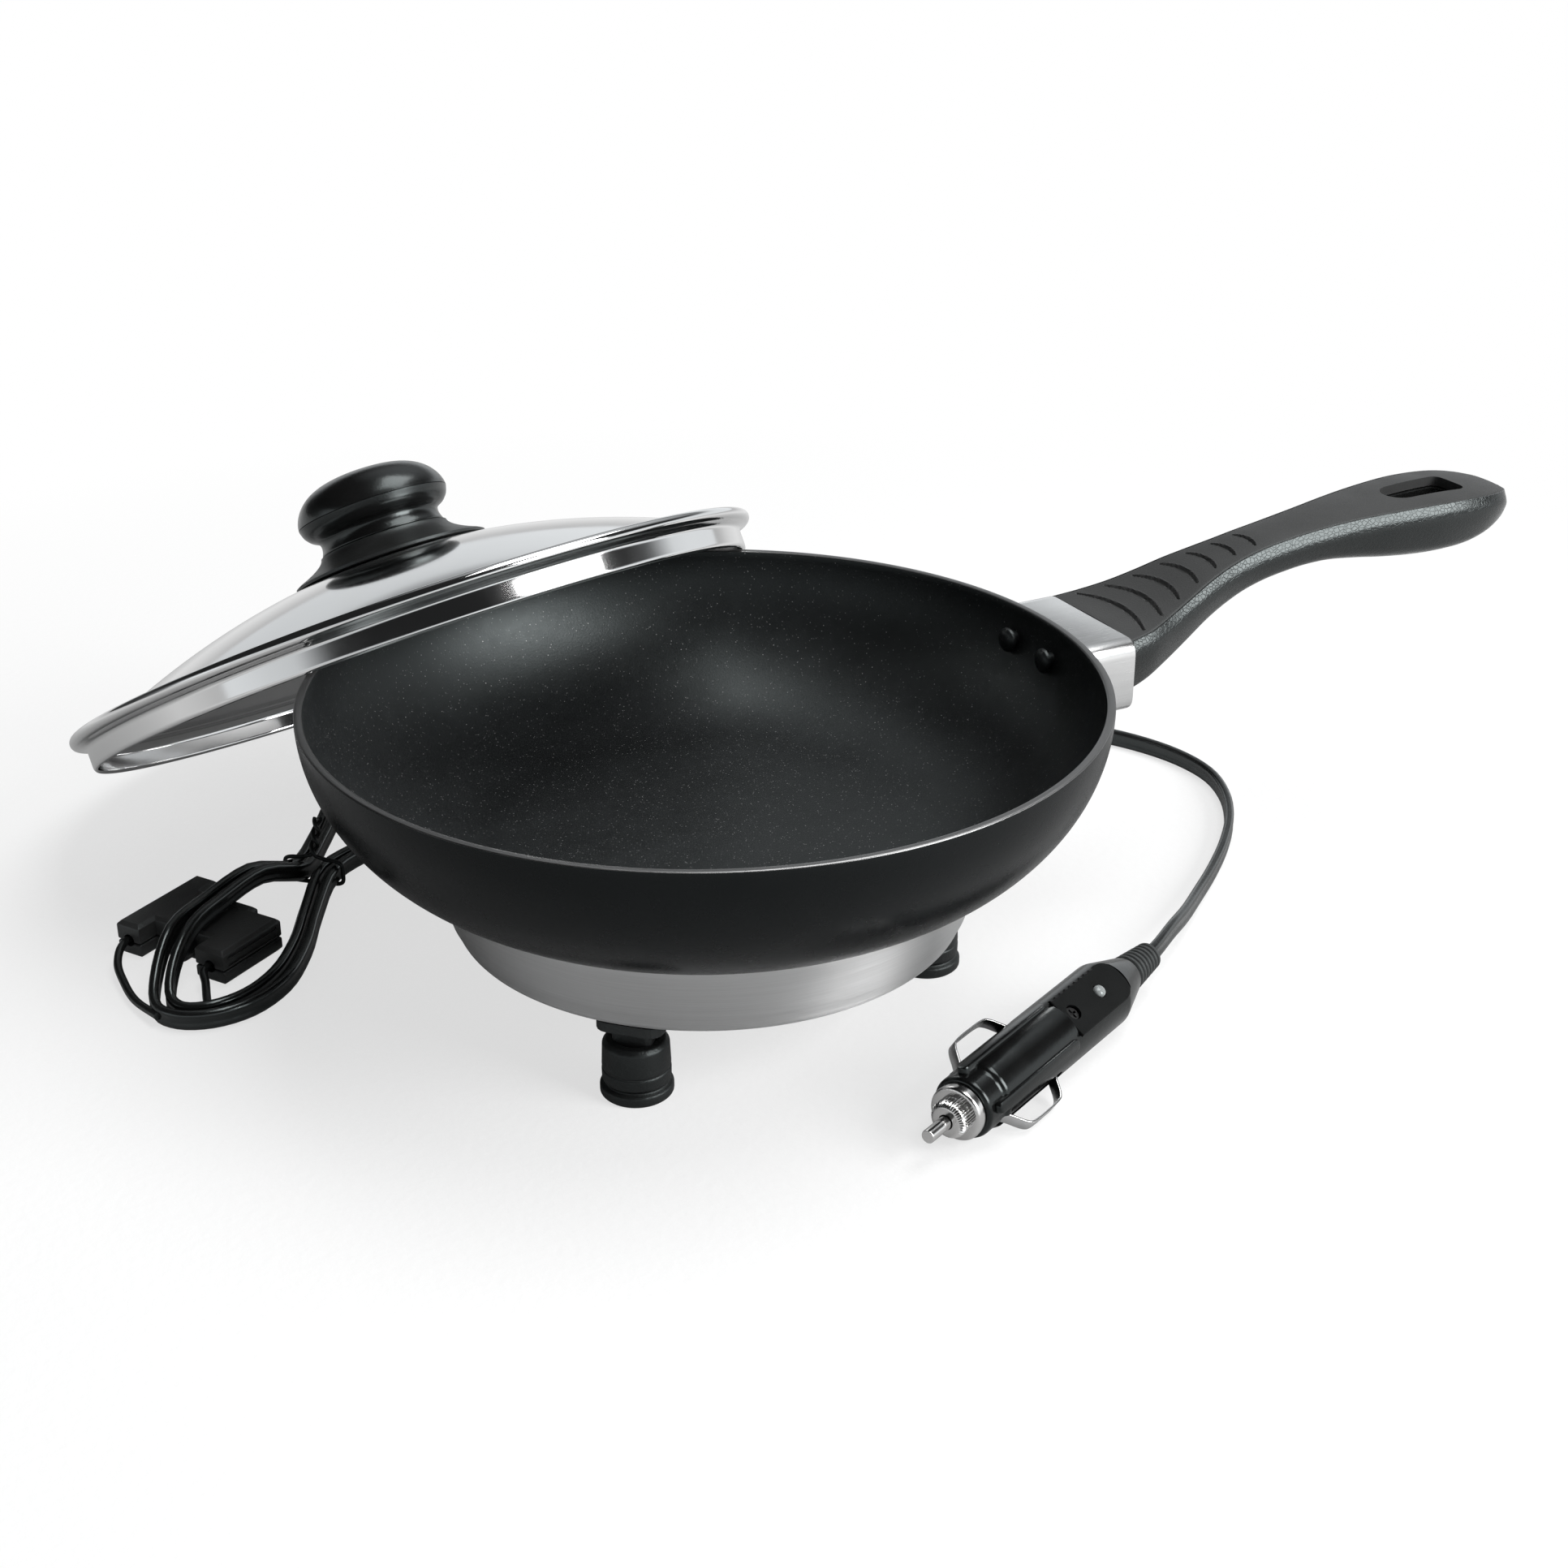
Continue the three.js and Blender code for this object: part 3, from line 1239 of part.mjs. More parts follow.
// Free stretches of the lead, laid by hand: down from the gland to the hank, and on to the plug
const restHeight = hankTableGap + cordWidth / 2;
const leadRoute = leadRoutePlaces.map(([x, y], i) => (
  v3(glandMouth.x + x, glandMouth.y + y, glandHeight * leadRouteHeightShares[i])
));
const plugRoute = [
  ...plugRouteByHank.map(([x, y]) => v3(hankCentre.x + x, hankCentre.y + y, restHeight)),
  ...plugRouteOnTable.map(([x, y, lift]) => v3(x, y, restHeight + lift)),
];

// Two points of a straight end that meets a face square, a seating gap away from it
function straightEnd(face, direction) {
  const way = direction.clone().normalize();
  return [seatGap, seatGap + cordThickness].map((far) => face.clone().addScaledVector(way, far));
}

function makeLead() {
  const section = cordSection();
  const last = hankLine.length - 1;
  const exit = straightEnd(glandMouth, glandDirection);
  const hankMouth = straightEnd(hankLine[0], hankLine[0].clone().sub(hankLine[1]));
  const hankTail = straightEnd(hankLine[last], hankLine[last].clone().sub(hankLine[last - 1]));
  const relief = straightEnd(plugPlace(plugLength), plugPlace(plugLength).sub(plugPlace(0)));
  const leadLine = smoothRoute([...exit, ...leadRoute, ...hankMouth.reverse()], 2);
  const plugLine = smoothRoute([...hankTail, ...plugRoute, ...relief.reverse()], 2);
  part('cord_lead', alongRoute(leadLine, section), cordGrey);
  part('cord_hank', alongRoute(hankLine, section), cordGrey);
  part('cord_to_plug', alongRoute(plugLine, section), cordGrey);
  const hank = measureHank();
  const total = routeLength(leadLine) + routeLength(hankLine) + routeLength(plugLine);
  console.log(`hank gap to itself ${hank.gap.toFixed(2)} mm, hank ${hank.length.toFixed(0)} mm`);
  console.log(`whole free lead ${total.toFixed(0)} mm`);
}

function smoothRoute(points, perSpan) {
  const curve = new THREE.CatmullRomCurve3(points, false, 'centripetal');
  return curve.getPoints((points.length - 1) * perSpan);
}

function plugPlace(along) {
  return v3(
    plugTip.x + along * Math.cos(plugAngle),
    plugTip.y + along * Math.sin(plugAngle),
    plugTip.z,
  );
}

// Tie: one wire round the hank's waist, with its two ends twisted together on top
function makeTie() {
  const tie = new THREE.Group();
  tie.position.copy(hankCentre);
  tie.rotation.z = hankAngle;
  root.add(tie);
  const wire = tieWireRadius;
  const held = [];
  for (let k = 0; k <= hankSteps * 6; k += 1) {
    const point = hankLocal(hankStart + ((hankEnd - hankStart) * k) / (hankSteps * 6));
    if (Math.abs(point.x) < hankTieSpan / 2) held.push(point.y);
  }
  const [right, left] = [Math.min(...held), Math.max(...held)];
  const side = (left + right) / 2;
  const half = (left - right) / 2 + cordThickness / 2 + seatGap + wire;
  const low = hankTableGap + hankTieLift - seatGap - wire;
  const high = hankTableGap + hankTieLift + cordWidth + seatGap * 2 + wire;
  const middle = (low + high) / 2;
  const twist = wire * 1.45;
  const steps = 18;
  const around = [];
  for (let i = 0; i <= steps; i += 1) {
    const angle = Math.PI * (0.54 + (1.92 * i) / steps);
    const squareness = 0.36;
    const x = Math.sign(Math.cos(angle)) * Math.abs(Math.cos(angle)) ** squareness;
    const y = Math.sign(Math.sin(angle)) * Math.abs(Math.sin(angle)) ** squareness;
    around.push(v3(0, side + x * half, middle + (y * (high - low)) / 2));
  }
  const turns = 1.5;
  const tailSteps = 9;
  const tail = (phase) => {
    const points = [];
    for (let i = 1; i <= tailSteps; i += 1) {
      const along = i / tailSteps;
      const angle = phase + 2 * Math.PI * turns * along;
      const lean = tieTailLength * along;
      points.push(v3(
        twist * Math.sin(angle) + lean * Math.cos(tieTailAngle),
        side + twist * Math.cos(angle),
        high + wire + lean * Math.sin(tieTailAngle),
      ));
    }
    return points;
  };
  const line = [...tail(Math.PI).reverse(), ...around, ...tail(0)];
  const ring = roundSection(wire, 5);
  part('hank_tie', loft(sideways(line, ring), (point, corner) => ring[corner]), rubberBlack, tie);
}

// Rings of a section along a route across X, with no twist from ring to ring
function sideways(points, section) {
  const across = v3(1, 0, 0);
  return points.map((point, i) => {
    const before = points[Math.max(i - 1, 0)];
    const after = points[Math.min(i + 1, points.length - 1)];
    const along = after.clone().sub(before).normalize();
    const up = along.clone().cross(across).normalize();
    const side = up.clone().cross(along);
    return section.map((corner) => point.clone()
      .addScaledVector(side, corner.x).addScaledVector(up, corner.y));
  });
}

// Inline fuse box: two half shells parted level, with a round cap over the fuse

function fuseOutline() {
  const [x, y] = [fuseBoxLength / 2, fuseBoxWidth / 2];
  const bridge = fuseBridgeLength / 2;
  const short = fuseShortBarLength - x;
  const upper = y - fuseBarWidth;
  const lower = -y + fuseShortBarWidth;
  const corners = [
    [-x, y], [-x, upper], [-bridge, upper], [-bridge, lower], [-x, lower], [-x, -y],
    [short, -y], [short, lower], [bridge, lower], [bridge, upper], [x, upper], [x, y],
  ];
  return new THREE.Shape(corners.map(([a, b]) => v2(a, b)));
}

const fuseCentreHeight = fuseBoxHeight / 2;
const longBarMiddle = (fuseBoxWidth - fuseBarWidth) / 2;
const shortBarMiddle = (fuseShortBarWidth - fuseBoxWidth) / 2;

function fusePlace(x, y, z) {
  const [c, s] = [Math.cos(fuseBoxAngle), Math.sin(fuseBoxAngle)];
  return v3(fuseBoxPlace.x + x * c - y * s, fuseBoxPlace.y + x * s + y * c, z);
}

function makeFuseBox() {
  const box = new THREE.Group();
  box.position.copy(fuseBoxPlace);
  box.rotation.z = fuseBoxAngle;
  root.add(box);
  const chamfer = fuseChamfer;
  const bevelled = (low, high) => new THREE.ExtrudeGeometry(fuseOutline(), {
    depth: high - low - chamfer * 2,
    bevelEnabled: true,
    bevelThickness: chamfer,
    bevelSize: chamfer,
    bevelOffset: -chamfer,
    bevelSegments: 1,
  }).translate(0, 0, low + chamfer);
  const whole = solid(bevelled(seatGap, fuseBoxHeight));
  const reach = fuseBoxLength + fuseBoxWidth;
  const half = (low, high) => solid(block(v3(-reach, -reach, low), v3(reach, reach, high)));

  const front = -fuseBridgeLength / 2;
  const boreEnd = front + fuseLinkLength + seatGap;
  const alongBars = (radius, from, to, y) => solid(rod(radius, from, to, smallSegments)
    .rotateY(Math.PI / 2).translate(0, y, fuseCentreHeight));
  const tools = [
    alongBars(fuseLinkRadius + seatGap, front - cutOverrun, boreEnd, 0),
    alongBars(fuseWireHoleRadius, -reach, -fuseBoxLength / 2 + fuseWireDepth, longBarMiddle),
    alongBars(fuseWireHoleRadius, -reach, -fuseBoxLength / 2 + fuseWireDepth, shortBarMiddle),
  ];
  const label = slab(
    roundedOutline(fuseLabelLength, fuseLabelWidth, fuseLabelCorner),
    fuseBoxHeight - fuseLabelDepth,
    fuseBoxHeight + cutOverrun,
    3,
  );
  tools.push(solid(label));
  for (let i = 0; i < fuseRibCount; i += 1) {
    const height = fuseParting + (fuseBoxHeight - fuseParting) * ((i + 0.6) / (fuseRibCount + 0.6));
    const side = -fuseBoxWidth / 2;
    const ribEnd = fuseShortBarLength - fuseBoxLength / 2 - chamfer * 2;
    tools.push(solid(block(
      v3(-fuseBoxLength / 2 + chamfer * 2, side - cutOverrun, height - fuseRibHeight / 2),
      v3(ribEnd, side + fuseRibDepth, height + fuseRibHeight / 2),
    )));
  }
  const cut = (shape) => tools.reduce((left, tool) => left.subtract(tool), shape);
  part('fuse_box_upper', cut(whole.subtract(half(-reach, fuseParting + seatGap))), fuseGrey, box);
  part('fuse_box_lower', cut(whole.subtract(half(fuseParting, reach))), fuseGrey, box);

  const capFront = front - fuseCapLength;
  const cap = fuseCapRadius;
  const capProfile = [
    v2(0, capFront),
    v2(cap * 0.8, capFront),
    v2(cap, capFront + fuseCapLength / 5),
    v2(cap, front - seatGap),
    v2(fuseLinkRadius, front - seatGap),
    v2(fuseLinkRadius, front + fuseCapLength / 3),
    v2(0, front + fuseCapLength / 3),
  ];
  const endCap = turned(capProfile, smallSegments).rotateY(Math.PI / 2);
  part('fuse_cap', endCap.translate(0, 0, fuseCentreHeight), fuseGrey, box);
  const linkStart = front + fuseCapLength / 3 + seatGap;
  const link = fuseLinkRadius;
  const linkProfile = [
    v2(0, linkStart),
    v2(link, linkStart),
    v2(link, linkStart + link),
    v2(link * 0.85, linkStart + link),
    v2(link * 0.85, boreEnd - seatGap - link),
    v2(link, boreEnd - seatGap - link),
    v2(link, boreEnd - seatGap),
    v2(0, boreEnd - seatGap),
  ];
  const glassLink = turned(linkProfile, headSegments).rotateY(Math.PI / 2);
  part('fuse_link', glassLink.translate(0, 0, fuseCentreHeight), nickel, box);

  // One conductor leaves the cord, passes through the box and comes back to the cord
  const ring = roundSection(fuseWireRadius, 6);
  const clear = cordThickness / 2 + seatGap * 2;
  const nearBox = ([x, y, height]) => v3(fuseBoxPlace.x + x, fuseBoxPlace.y + y, height);
  const mouth = -fuseBoxLength / 2;
  const deep = mouth + fuseWireDepth - seatGap;
  const wire = (name, y, turn, inward, between) => {
    const end = hankPoint(turn);
    const ahead = hankPoint(turn + hankStepAngle / 4);
    const out = v3(0, 0, 1).cross(ahead.sub(end)).setLength(inward);
    const route = [
      fusePlace(deep, y, fuseCentreHeight),
      fusePlace(mouth - fuseWireDepth / 2, y, fuseCentreHeight),
      ...between,
      end.clone().addScaledVector(out, clear + fuseWireRadius * 2),
      end.clone().addScaledVector(out, clear),
    ];
    const line = smoothRoute(route, 3);
    part(name, loft(upright(line, ring), (point, corner) => ring[corner]), cordGrey);
  };
  wire('fuse_wire_out', longBarMiddle, fuseWireOutTurn, -1, fuseWireOutPlaces.map(nearBox));
  wire('fuse_wire_in', shortBarMiddle, fuseWireInTurn, 1, fuseWireInPlaces.map(nearBox));
}

// Plug for a vehicle socket, built from its tip along +X and rolled as it lies
function makePlug() {
  const plug = new THREE.Group();
  plug.position.copy(plugTip);
  plug.rotation.set(plugRoll, 0, plugAngle, 'ZYX');
  root.add(plug);
  const lengthwise = (points, segments) => turned(points, segments).rotateY(Math.PI / 2);
  const bar = (radius, from, to, segments) => rod(radius, from, to, segments).rotateY(Math.PI / 2);

  const pin = plugPinRadius;
  const pinProfile = [
    v2(0, 0),
    v2(pin * 0.7, 0),
    v2(pin, pin * 0.35),
    v2(pin, plugPinLength + plugPinHidden),
    v2(0, plugPinLength + plugPinHidden),
  ];
  part('plug_pin', lengthwise(pinProfile, smallSegments), nickel, plug);

  const bore = pin + seatGap;
  const noseEnd = plugPinLength + plugNoseLength;
  const ringEnd = noseEnd + plugRingLength;
  const noseProfile = [
    v2(bore, plugPinLength),
    v2(plugNoseRadius * 0.8, plugPinLength),
    v2(plugNoseRadius, plugPinLength + plugNoseLength / 4),
    v2(plugNoseRadius, noseEnd),
    v2(plugRingRadius * 0.94, noseEnd),
    v2(plugRingRadius, noseEnd + plugRingLength / 5),
    v2(plugRingRadius, ringEnd - seatGap),
    v2(bore, ringEnd - seatGap),
    v2(bore, plugPinLength),
  ];
  part('plug_nose_cap', lengthwise(noseProfile, knobSegments), nickel, plug);

  const bodyProfile = [
    v2(0, plugCollarStart),
    v2(plugCollarRadius * 0.93, plugCollarStart),
    v2(plugCollarRadius, plugCollarStart + plugRingLength / 4),
    v2(plugCollarRadius, plugBodyStart),
    v2(plugBodyRadius, plugBodyStart + plugRibHeight),
    v2(plugBodyRadius, plugTaperStart),
    v2(plugTailRadius, plugBodyEnd),
    v2(0, plugBodyEnd),
  ];
  let body = solid(lengthwise(bodyProfile, knobSegments));
  const ribMiddle = (plugRibStart + plugRibEnd) / 2;
  [-1, 1].forEach((side) => {
    const rib = slab(
      roundedOutline(plugRibEnd - plugRibStart, plugRibWidth, plugRibWidth / 2.1),
      plugBodyRadius - plugRibHeight * 2,
      plugBodyRadius + plugRibHeight,
      3,
    );
    body = body.add(solid(rib.translate(ribMiddle, 0, 0).rotateX((side * Math.PI) / 4)));
    const slot = slab(
      roundedOutline(plugSlotEnd - plugSlotStart, plugSlotWidth, plugSlotWidth / 2.1),
      plugBodyRadius - plugSlotDepth,
      plugBodyRadius + cutOverrun,
      3,
    );
    const slotMiddle = (plugSlotStart + plugSlotEnd) / 2;
    body = body.subtract(solid(slot.translate(slotMiddle, 0, 0).rotateX((side * Math.PI) / 2)));
  });
  const pinRoom = plugPinLength + plugPinHidden + plugPinTravel + seatGap;
  body = body.subtract(solid(bar(bore, plugCollarStart - cutOverrun, pinRoom, smallSegments)));
  const panelFloor = plugBodyRadius - plugPanelDepth - seatGap * 2;
  const bay = block(
    v3(plugPanelStart, -plugPanelHalfWidth - seatGap, panelFloor),
    v3(plugPanelEnd, plugPanelHalfWidth + seatGap, plugBodyRadius + cutOverrun),
  );
  body = body.subtract(solid(bay));
  const wellDepth = plugScrewRadius * 2;
  const well = rod(plugScrewRadius + seatGap, panelFloor - wellDepth, plugBodyRadius, smallSegments);
  body = body.subtract(solid(well.translate(plugScrewPlace, 0, 0)));
  part('plug_body', body, plugBlack, plug);

  // Panel with a scalloped edge over the lamp and the screw
  const panel = panelFloor + seatGap;
  const panelTop = panel + plugPanelDepth / 2;
  const half = plugPanelHalfWidth;
  const outline = new THREE.Shape();
  const front = plugPanelStart + seatGap;
  const back = plugPanelEnd - seatGap;
  outline.moveTo(front, -half);
  outline.lineTo(back - half, -half);
  outline.quadraticCurveTo(back, -half, back, 0);
  outline.quadraticCurveTo(back, half, back - half, half);
  const scallops = 5;
  const pitch = (back - half - front) / scallops;
  for (let i = 0; i < scallops; i += 1) {
    const x = back - half - pitch * i;
    outline.quadraticCurveTo(x - pitch / 2, half - pitch / 5, x - pitch, half);
  }
  let plate = solid(slab(outline, panel, panelTop, panelSegments));
  [[ledRadius, ledPlace], [plugScrewRadius, plugScrewPlace]].forEach(([radius, place]) => {
    const hole = rod(radius + seatGap, panel - cutOverrun, panelTop + cutOverrun, smallSegments);
    plate = plate.subtract(solid(hole.translate(place, 0, 0)));
  });
  part('plug_panel', plate, gripBlack, plug);

  const lens = ledRadius;
  const lensProfile = [
    v2(0, panel),
    v2(lens, panel),
    v2(lens, panelTop),
    v2(lens * 0.7, panelTop + lens * 0.4),
    v2(0, panelTop + lens * 0.6),
  ];
  part('plug_lamp', turned(lensProfile, smallSegments).translate(ledPlace, 0, 0), lensRed, plug);
  const headLow = panel - plugScrewRadius;
  const screw = rod(plugScrewRadius, headLow, panel, headSegments).translate(plugScrewPlace, 0, 0);
  const slotHalf = plugScrewRadius / 6;
  const crossReach = plugScrewRadius * 0.7;
  const crossLow = panel - plugScrewRadius / 3;
  const crossA = block(
    v3(plugScrewPlace - crossReach, -slotHalf, crossLow),
    v3(plugScrewPlace + crossReach, slotHalf, panel + cutOverrun),
  );
  const crossB = block(
    v3(plugScrewPlace - slotHalf, -crossReach, crossLow),
    v3(plugScrewPlace + slotHalf, crossReach, panel + cutOverrun),
  );
  part('plug_screw', solid(screw).subtract(solid(crossA)).subtract(solid(crossB)), zincSteel, plug);

  // Bowed side contacts, each in its own slot
  const low = plugBodyRadius - contactLift;
  const span = contactEnd - contactStart;
  const bow = contactBowShares.map(([along, up]) => v2(
    contactStart + span * along,
    low + (plugBodyRadius + contactBow - low) * up,
  ));
  const strip = [
    ...bow.map((point) => v2(point.x, point.y + contactSheet / 2)),
    ...bow.map((point) => v2(point.x, point.y - contactSheet / 2)).reverse(),
  ];
  [1, -1].forEach((side, i) => {
    const geometry = slab(new THREE.Shape(strip), -contactWidth / 2, contactWidth / 2, neckSegments);
    if (side < 0) geometry.rotateX(Math.PI);
    part(`plug_contact_${i + 1}`, geometry, nickel, plug);
  });

  // Ribbed relief over the lead
  const reliefStart = plugBodyEnd + seatGap;
  const step = (plugLength - reliefStart) / reliefRingCount;
  const reliefProfile = [v2(0, reliefStart)];
  for (let i = 0; i < reliefRingCount; i += 1) {
    const radius = reliefStartRadius + ((reliefEndRadius - reliefStartRadius) * i) / (reliefRingCount - 1);
    reliefProfile.push(v2(radius, reliefStart + step * i));
    reliefProfile.push(v2(radius, reliefStart + step * (i + 0.6)));
    reliefProfile.push(v2(radius - reliefRingDepth, reliefStart + step * (i + 0.8)));
  }
  reliefProfile.push(v2(reliefEndRadius - reliefRingDepth, plugLength), v2(0, plugLength));
  part('plug_relief', lengthwise(reliefProfile, smallSegments), rubberBlack, plug);
}

makePan();
makeHousing();
makeBaseCover();
makeFeet();
makeHeater();
makeControls();
makeGland();
makeHandle();
makeCollar();
makeLid();
makeLead();
makeTie();
makeFuseBox();
makePlug();

// The origin is the middle of the object's footprint, without its lead
const onLead = (name) => /^(cord|hank|fuse|plug)_/.test(name);
root.updateMatrixWorld(true);
const footprint = new THREE.Box3();
root.traverse((node) => {
  if (node.isMesh && !onLead(node.name)) footprint.expandByObject(node, true);
});
const middle = footprint.getCenter(v3(0, 0, 0));
root.position.set(-middle.x, -middle.y, 0);

export default root;
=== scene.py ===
# Electric skillet: a non-stick pan on a brushed base, a polished lid leaning behind it, and a flat
# twin lead with its tied hank, inline fuse box and socket plug, on a pale floor under soft light.
from math import asin, copysign, cos, exp, hypot, pi, radians, sin, sqrt

import bpy
from mathutils import Matrix, Quaternion, Vector


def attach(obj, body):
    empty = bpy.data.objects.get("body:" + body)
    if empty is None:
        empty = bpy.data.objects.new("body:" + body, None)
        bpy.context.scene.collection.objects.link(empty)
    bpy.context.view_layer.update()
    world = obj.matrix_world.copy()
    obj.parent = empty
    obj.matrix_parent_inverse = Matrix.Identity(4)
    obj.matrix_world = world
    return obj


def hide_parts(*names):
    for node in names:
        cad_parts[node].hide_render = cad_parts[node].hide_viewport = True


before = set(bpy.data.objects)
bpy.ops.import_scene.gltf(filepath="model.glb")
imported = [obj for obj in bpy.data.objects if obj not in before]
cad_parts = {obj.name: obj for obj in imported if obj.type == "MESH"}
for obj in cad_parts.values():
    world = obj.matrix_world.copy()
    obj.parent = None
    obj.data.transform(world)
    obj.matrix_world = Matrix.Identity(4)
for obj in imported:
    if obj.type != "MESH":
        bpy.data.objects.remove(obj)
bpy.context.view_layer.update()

# Units and frames: sizes are in millimetres, measured from the pan's axis on the table

MM = 0.001
SHIFT = Vector((-74.89965, -70.03992, 0))
UP = Vector((0, 0, 1))


def in_metres(point):
    """A point in the shared frame."""
    return (Vector(point) + SHIFT) * MM


def frame_at(place, turn=Quaternion()):
    return Matrix.Translation(in_metres(place)) @ turn.to_matrix().to_4x4()


PAN = frame_at((0, 0, 0))
ROUND_X = Vector((1, 0, 0))

# Camera at the photograph's place



def placed(name, data):
    made = bpy.data.objects.new(name, data)
    bpy.context.scene.collection.objects.link(made)
    return made


def aimed(name, data, place, way):
    """A camera or a lamp at a place in metres, looking along a way."""
    made = placed(name, data)
    made.location = place
    made.rotation_mode = "QUATERNION"
    made.rotation_quaternion = way.to_track_quat("-Z", "Y")
    return made


AIM_TURN = radians(61.6)
AIM_DROP = radians(25.29)
camera_data = bpy.data.cameras.new("camera")
camera_data.sensor_width = 36
camera_data.lens = 54.04
camera_data.clip_start = 0.01
camera_data.clip_end = 50
aim = Vector((cos(AIM_TURN) * cos(AIM_DROP), sin(AIM_TURN) * cos(AIM_DROP), -sin(AIM_DROP)))
bpy.context.scene.camera = aimed("camera", camera_data, (-0.35935, -0.64426, 0.3690), aim)

# Mesh helpers

own_frames = {}


def shaped(name, points, faces, matrix=PAN, material=None, crease=32, body="skillet"):
    """A piece from points in millimetres in its own frame, riding on a body."""
    mesh = bpy.data.meshes.new(name)
    mesh.from_pydata([tuple(matrix @ (Vector(p) * MM)) for p in points], [], faces)
    mesh.validate()
    mesh.shade_smooth()
    mesh.set_sharp_from_angle(angle=radians(crease))
    piece = placed(name, mesh)
    own_frames[piece] = matrix
    if material is not None:
        mesh.materials.append(material)
    if body is not None:
        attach(piece, body)
    return piece


def spun(profile, steps, closed=False, flute=None):
    """Points and faces of a (radius, height) profile turned about the frame's Z."""
    points = []
    rings = []
    for k, (radius, height) in enumerate(profile):
        if radius < 1e-6:
            points.append((0, 0, height))
            rings.append([len(points) - 1] * steps)
            continue
        rings.append(list(range(len(points), len(points) + steps)))
        for i in range(steps):
            angle = 2 * pi * i / steps
            r = radius if flute is None else radius + flute(k, i)
            points.append((r * cos(angle), r * sin(angle), height))
    faces = []
    pairs = list(zip(rings, rings[1:]))
    if closed:
        pairs.append((rings[-1], rings[0]))
    for low, high in pairs:
        for i in range(steps):
            j = (i + 1) % steps
            face = [low[i], low[j], high[j], high[i]]
            kept = [v for n, v in enumerate(face) if v != face[n - 1]]
            if len(kept) > 2:
                faces.append(kept)
    return points, faces


def lathe(name, profile, steps, matrix=PAN, material=None, closed=False, **rest):
    points, faces = spun(profile, steps, closed)
    return shaped(name, points, faces, matrix, material, **rest)


def lofted(rings, closed=False):
    """Points and faces of a skin through rings of equal count, capped unless closed."""
    count = len(rings[0])
    points = [p for ring in rings for p in ring]
    faces = []
    last = len(rings) if closed else len(rings) - 1
    for i in range(last):
        below = i * count
        above = ((i + 1) % len(rings)) * count
        for j in range(count):
            k = (j + 1) % count
            faces.append([below + j, below + k, above + k, above + j])
    if not closed:
        faces.append(list(range(count))[::-1])
        faces.append([(len(rings) - 1) * count + j for j in range(count)])
    return points, faces


def rounded(corners, radius, steps=4, closed=False, keep=()):
    """Corners eased by short curves, in two or three dimensions. Corners in keep stay sharp."""
    corners = [Vector(c) for c in corners]
    made = []
    for i, corner in enumerate(corners):
        ends = not closed and i in (0, len(corners) - 1)
        if ends or i in keep:
            made.append(corner)
            continue
        before = corners[i - 1] - corner
        after = corners[(i + 1) % len(corners)] - corner
        start = corner + before.normalized() * min(radius, before.length * 0.48)
        end = corner + after.normalized() * min(radius, after.length * 0.48)
        for s in range(steps + 1):
            t = s / steps
            made.append(start * (1 - t) ** 2 + corner * (2 * t * (1 - t)) + end * t ** 2)
    return made


def eased(corners, radius, steps=4):
    return [tuple(p) for p in rounded(corners, radius, steps)]


def arc(centre, radii, start, end, count, first=0):
    """Points along an elliptical arc in count steps, leaving out those before the first."""
    turns = [start + (end - start) * i / count for i in range(first, count + 1)]
    return [(centre[0] + radii[0] * cos(t), centre[1] + radii[1] * sin(t)) for t in turns]


def smooth_route(points, spans):
    """A centripetal Catmull-Rom curve through the points, as in the part's source."""
    points = [Vector(p) for p in points]
    line = []
    count = len(points)
    for k in range(count - 1):
        p1, p2 = points[k], points[k + 1]
        p0 = points[k - 1] if k else p1 * 2 - p2
        p3 = points[k + 2] if k + 2 < count else p2 * 2 - p1
        t1 = max((p1 - p0).length, 1e-6) ** 0.5
        t2 = t1 + max((p2 - p1).length, 1e-6) ** 0.5
        t3 = t2 + max((p3 - p2).length, 1e-6) ** 0.5
        for s in range(spans):
            t = t1 + (t2 - t1) * s / spans
            a1 = p0 * ((t1 - t) / t1) + p1 * (t / t1)
            a2 = p1 * ((t2 - t) / (t2 - t1)) + p2 * ((t - t1) / (t2 - t1))
            a3 = p2 * ((t3 - t) / (t3 - t2)) + p3 * ((t - t2) / (t3 - t2))
            b1 = a1 * ((t2 - t) / t2) + a2 * (t / t2)
            b2 = a2 * ((t3 - t) / (t3 - t1)) + a3 * ((t - t1) / (t3 - t1))
            line.append(b1 * ((t2 - t) / (t2 - t1)) + b2 * ((t - t1) / (t2 - t1)))
    line.append(points[-1])
    return line


def swept(line, section, side_hint=None):
    """Rings of a section along a line: its x to the side and its y up."""
    rings = []
    for i, point in enumerate(line):
        along = (line[min(i + 1, len(line) - 1)] - line[max(i - 1, 0)]).normalized()
        if side_hint is None:
            side = UP.cross(along).normalized()
            up = along.cross(side)
        else:
            up = along.cross(side_hint).normalized()
            side = up.cross(along)
        rings.append([point + side * x + up * y for x, y in section])
    return rings


def round_section(radius, sides, x=0, y=0):
    return arc((x, y), (radius, radius), 0, 2 * pi, sides)[:-1]


def extruded(outline, levels):
    """Rings of an outline at (height, inset) levels, the inset moving each corner inward."""
    corners = [Vector(p) for p in outline]
    mitres = []
    for i, here in enumerate(corners):
        back = (here - corners[i - 1]).normalized()
        on = (corners[(i + 1) % len(corners)] - here).normalized()
        normal = Vector((-on.y, on.x))
        mitre = Vector((-back.y, back.x)) + normal
        mitres.append(mitre / max(mitre.dot(normal), 0.3))
    return [
        [(here + mitre * inset).to_3d() + UP * height for here, mitre in zip(corners, mitres)]
        for height, inset in levels
    ]


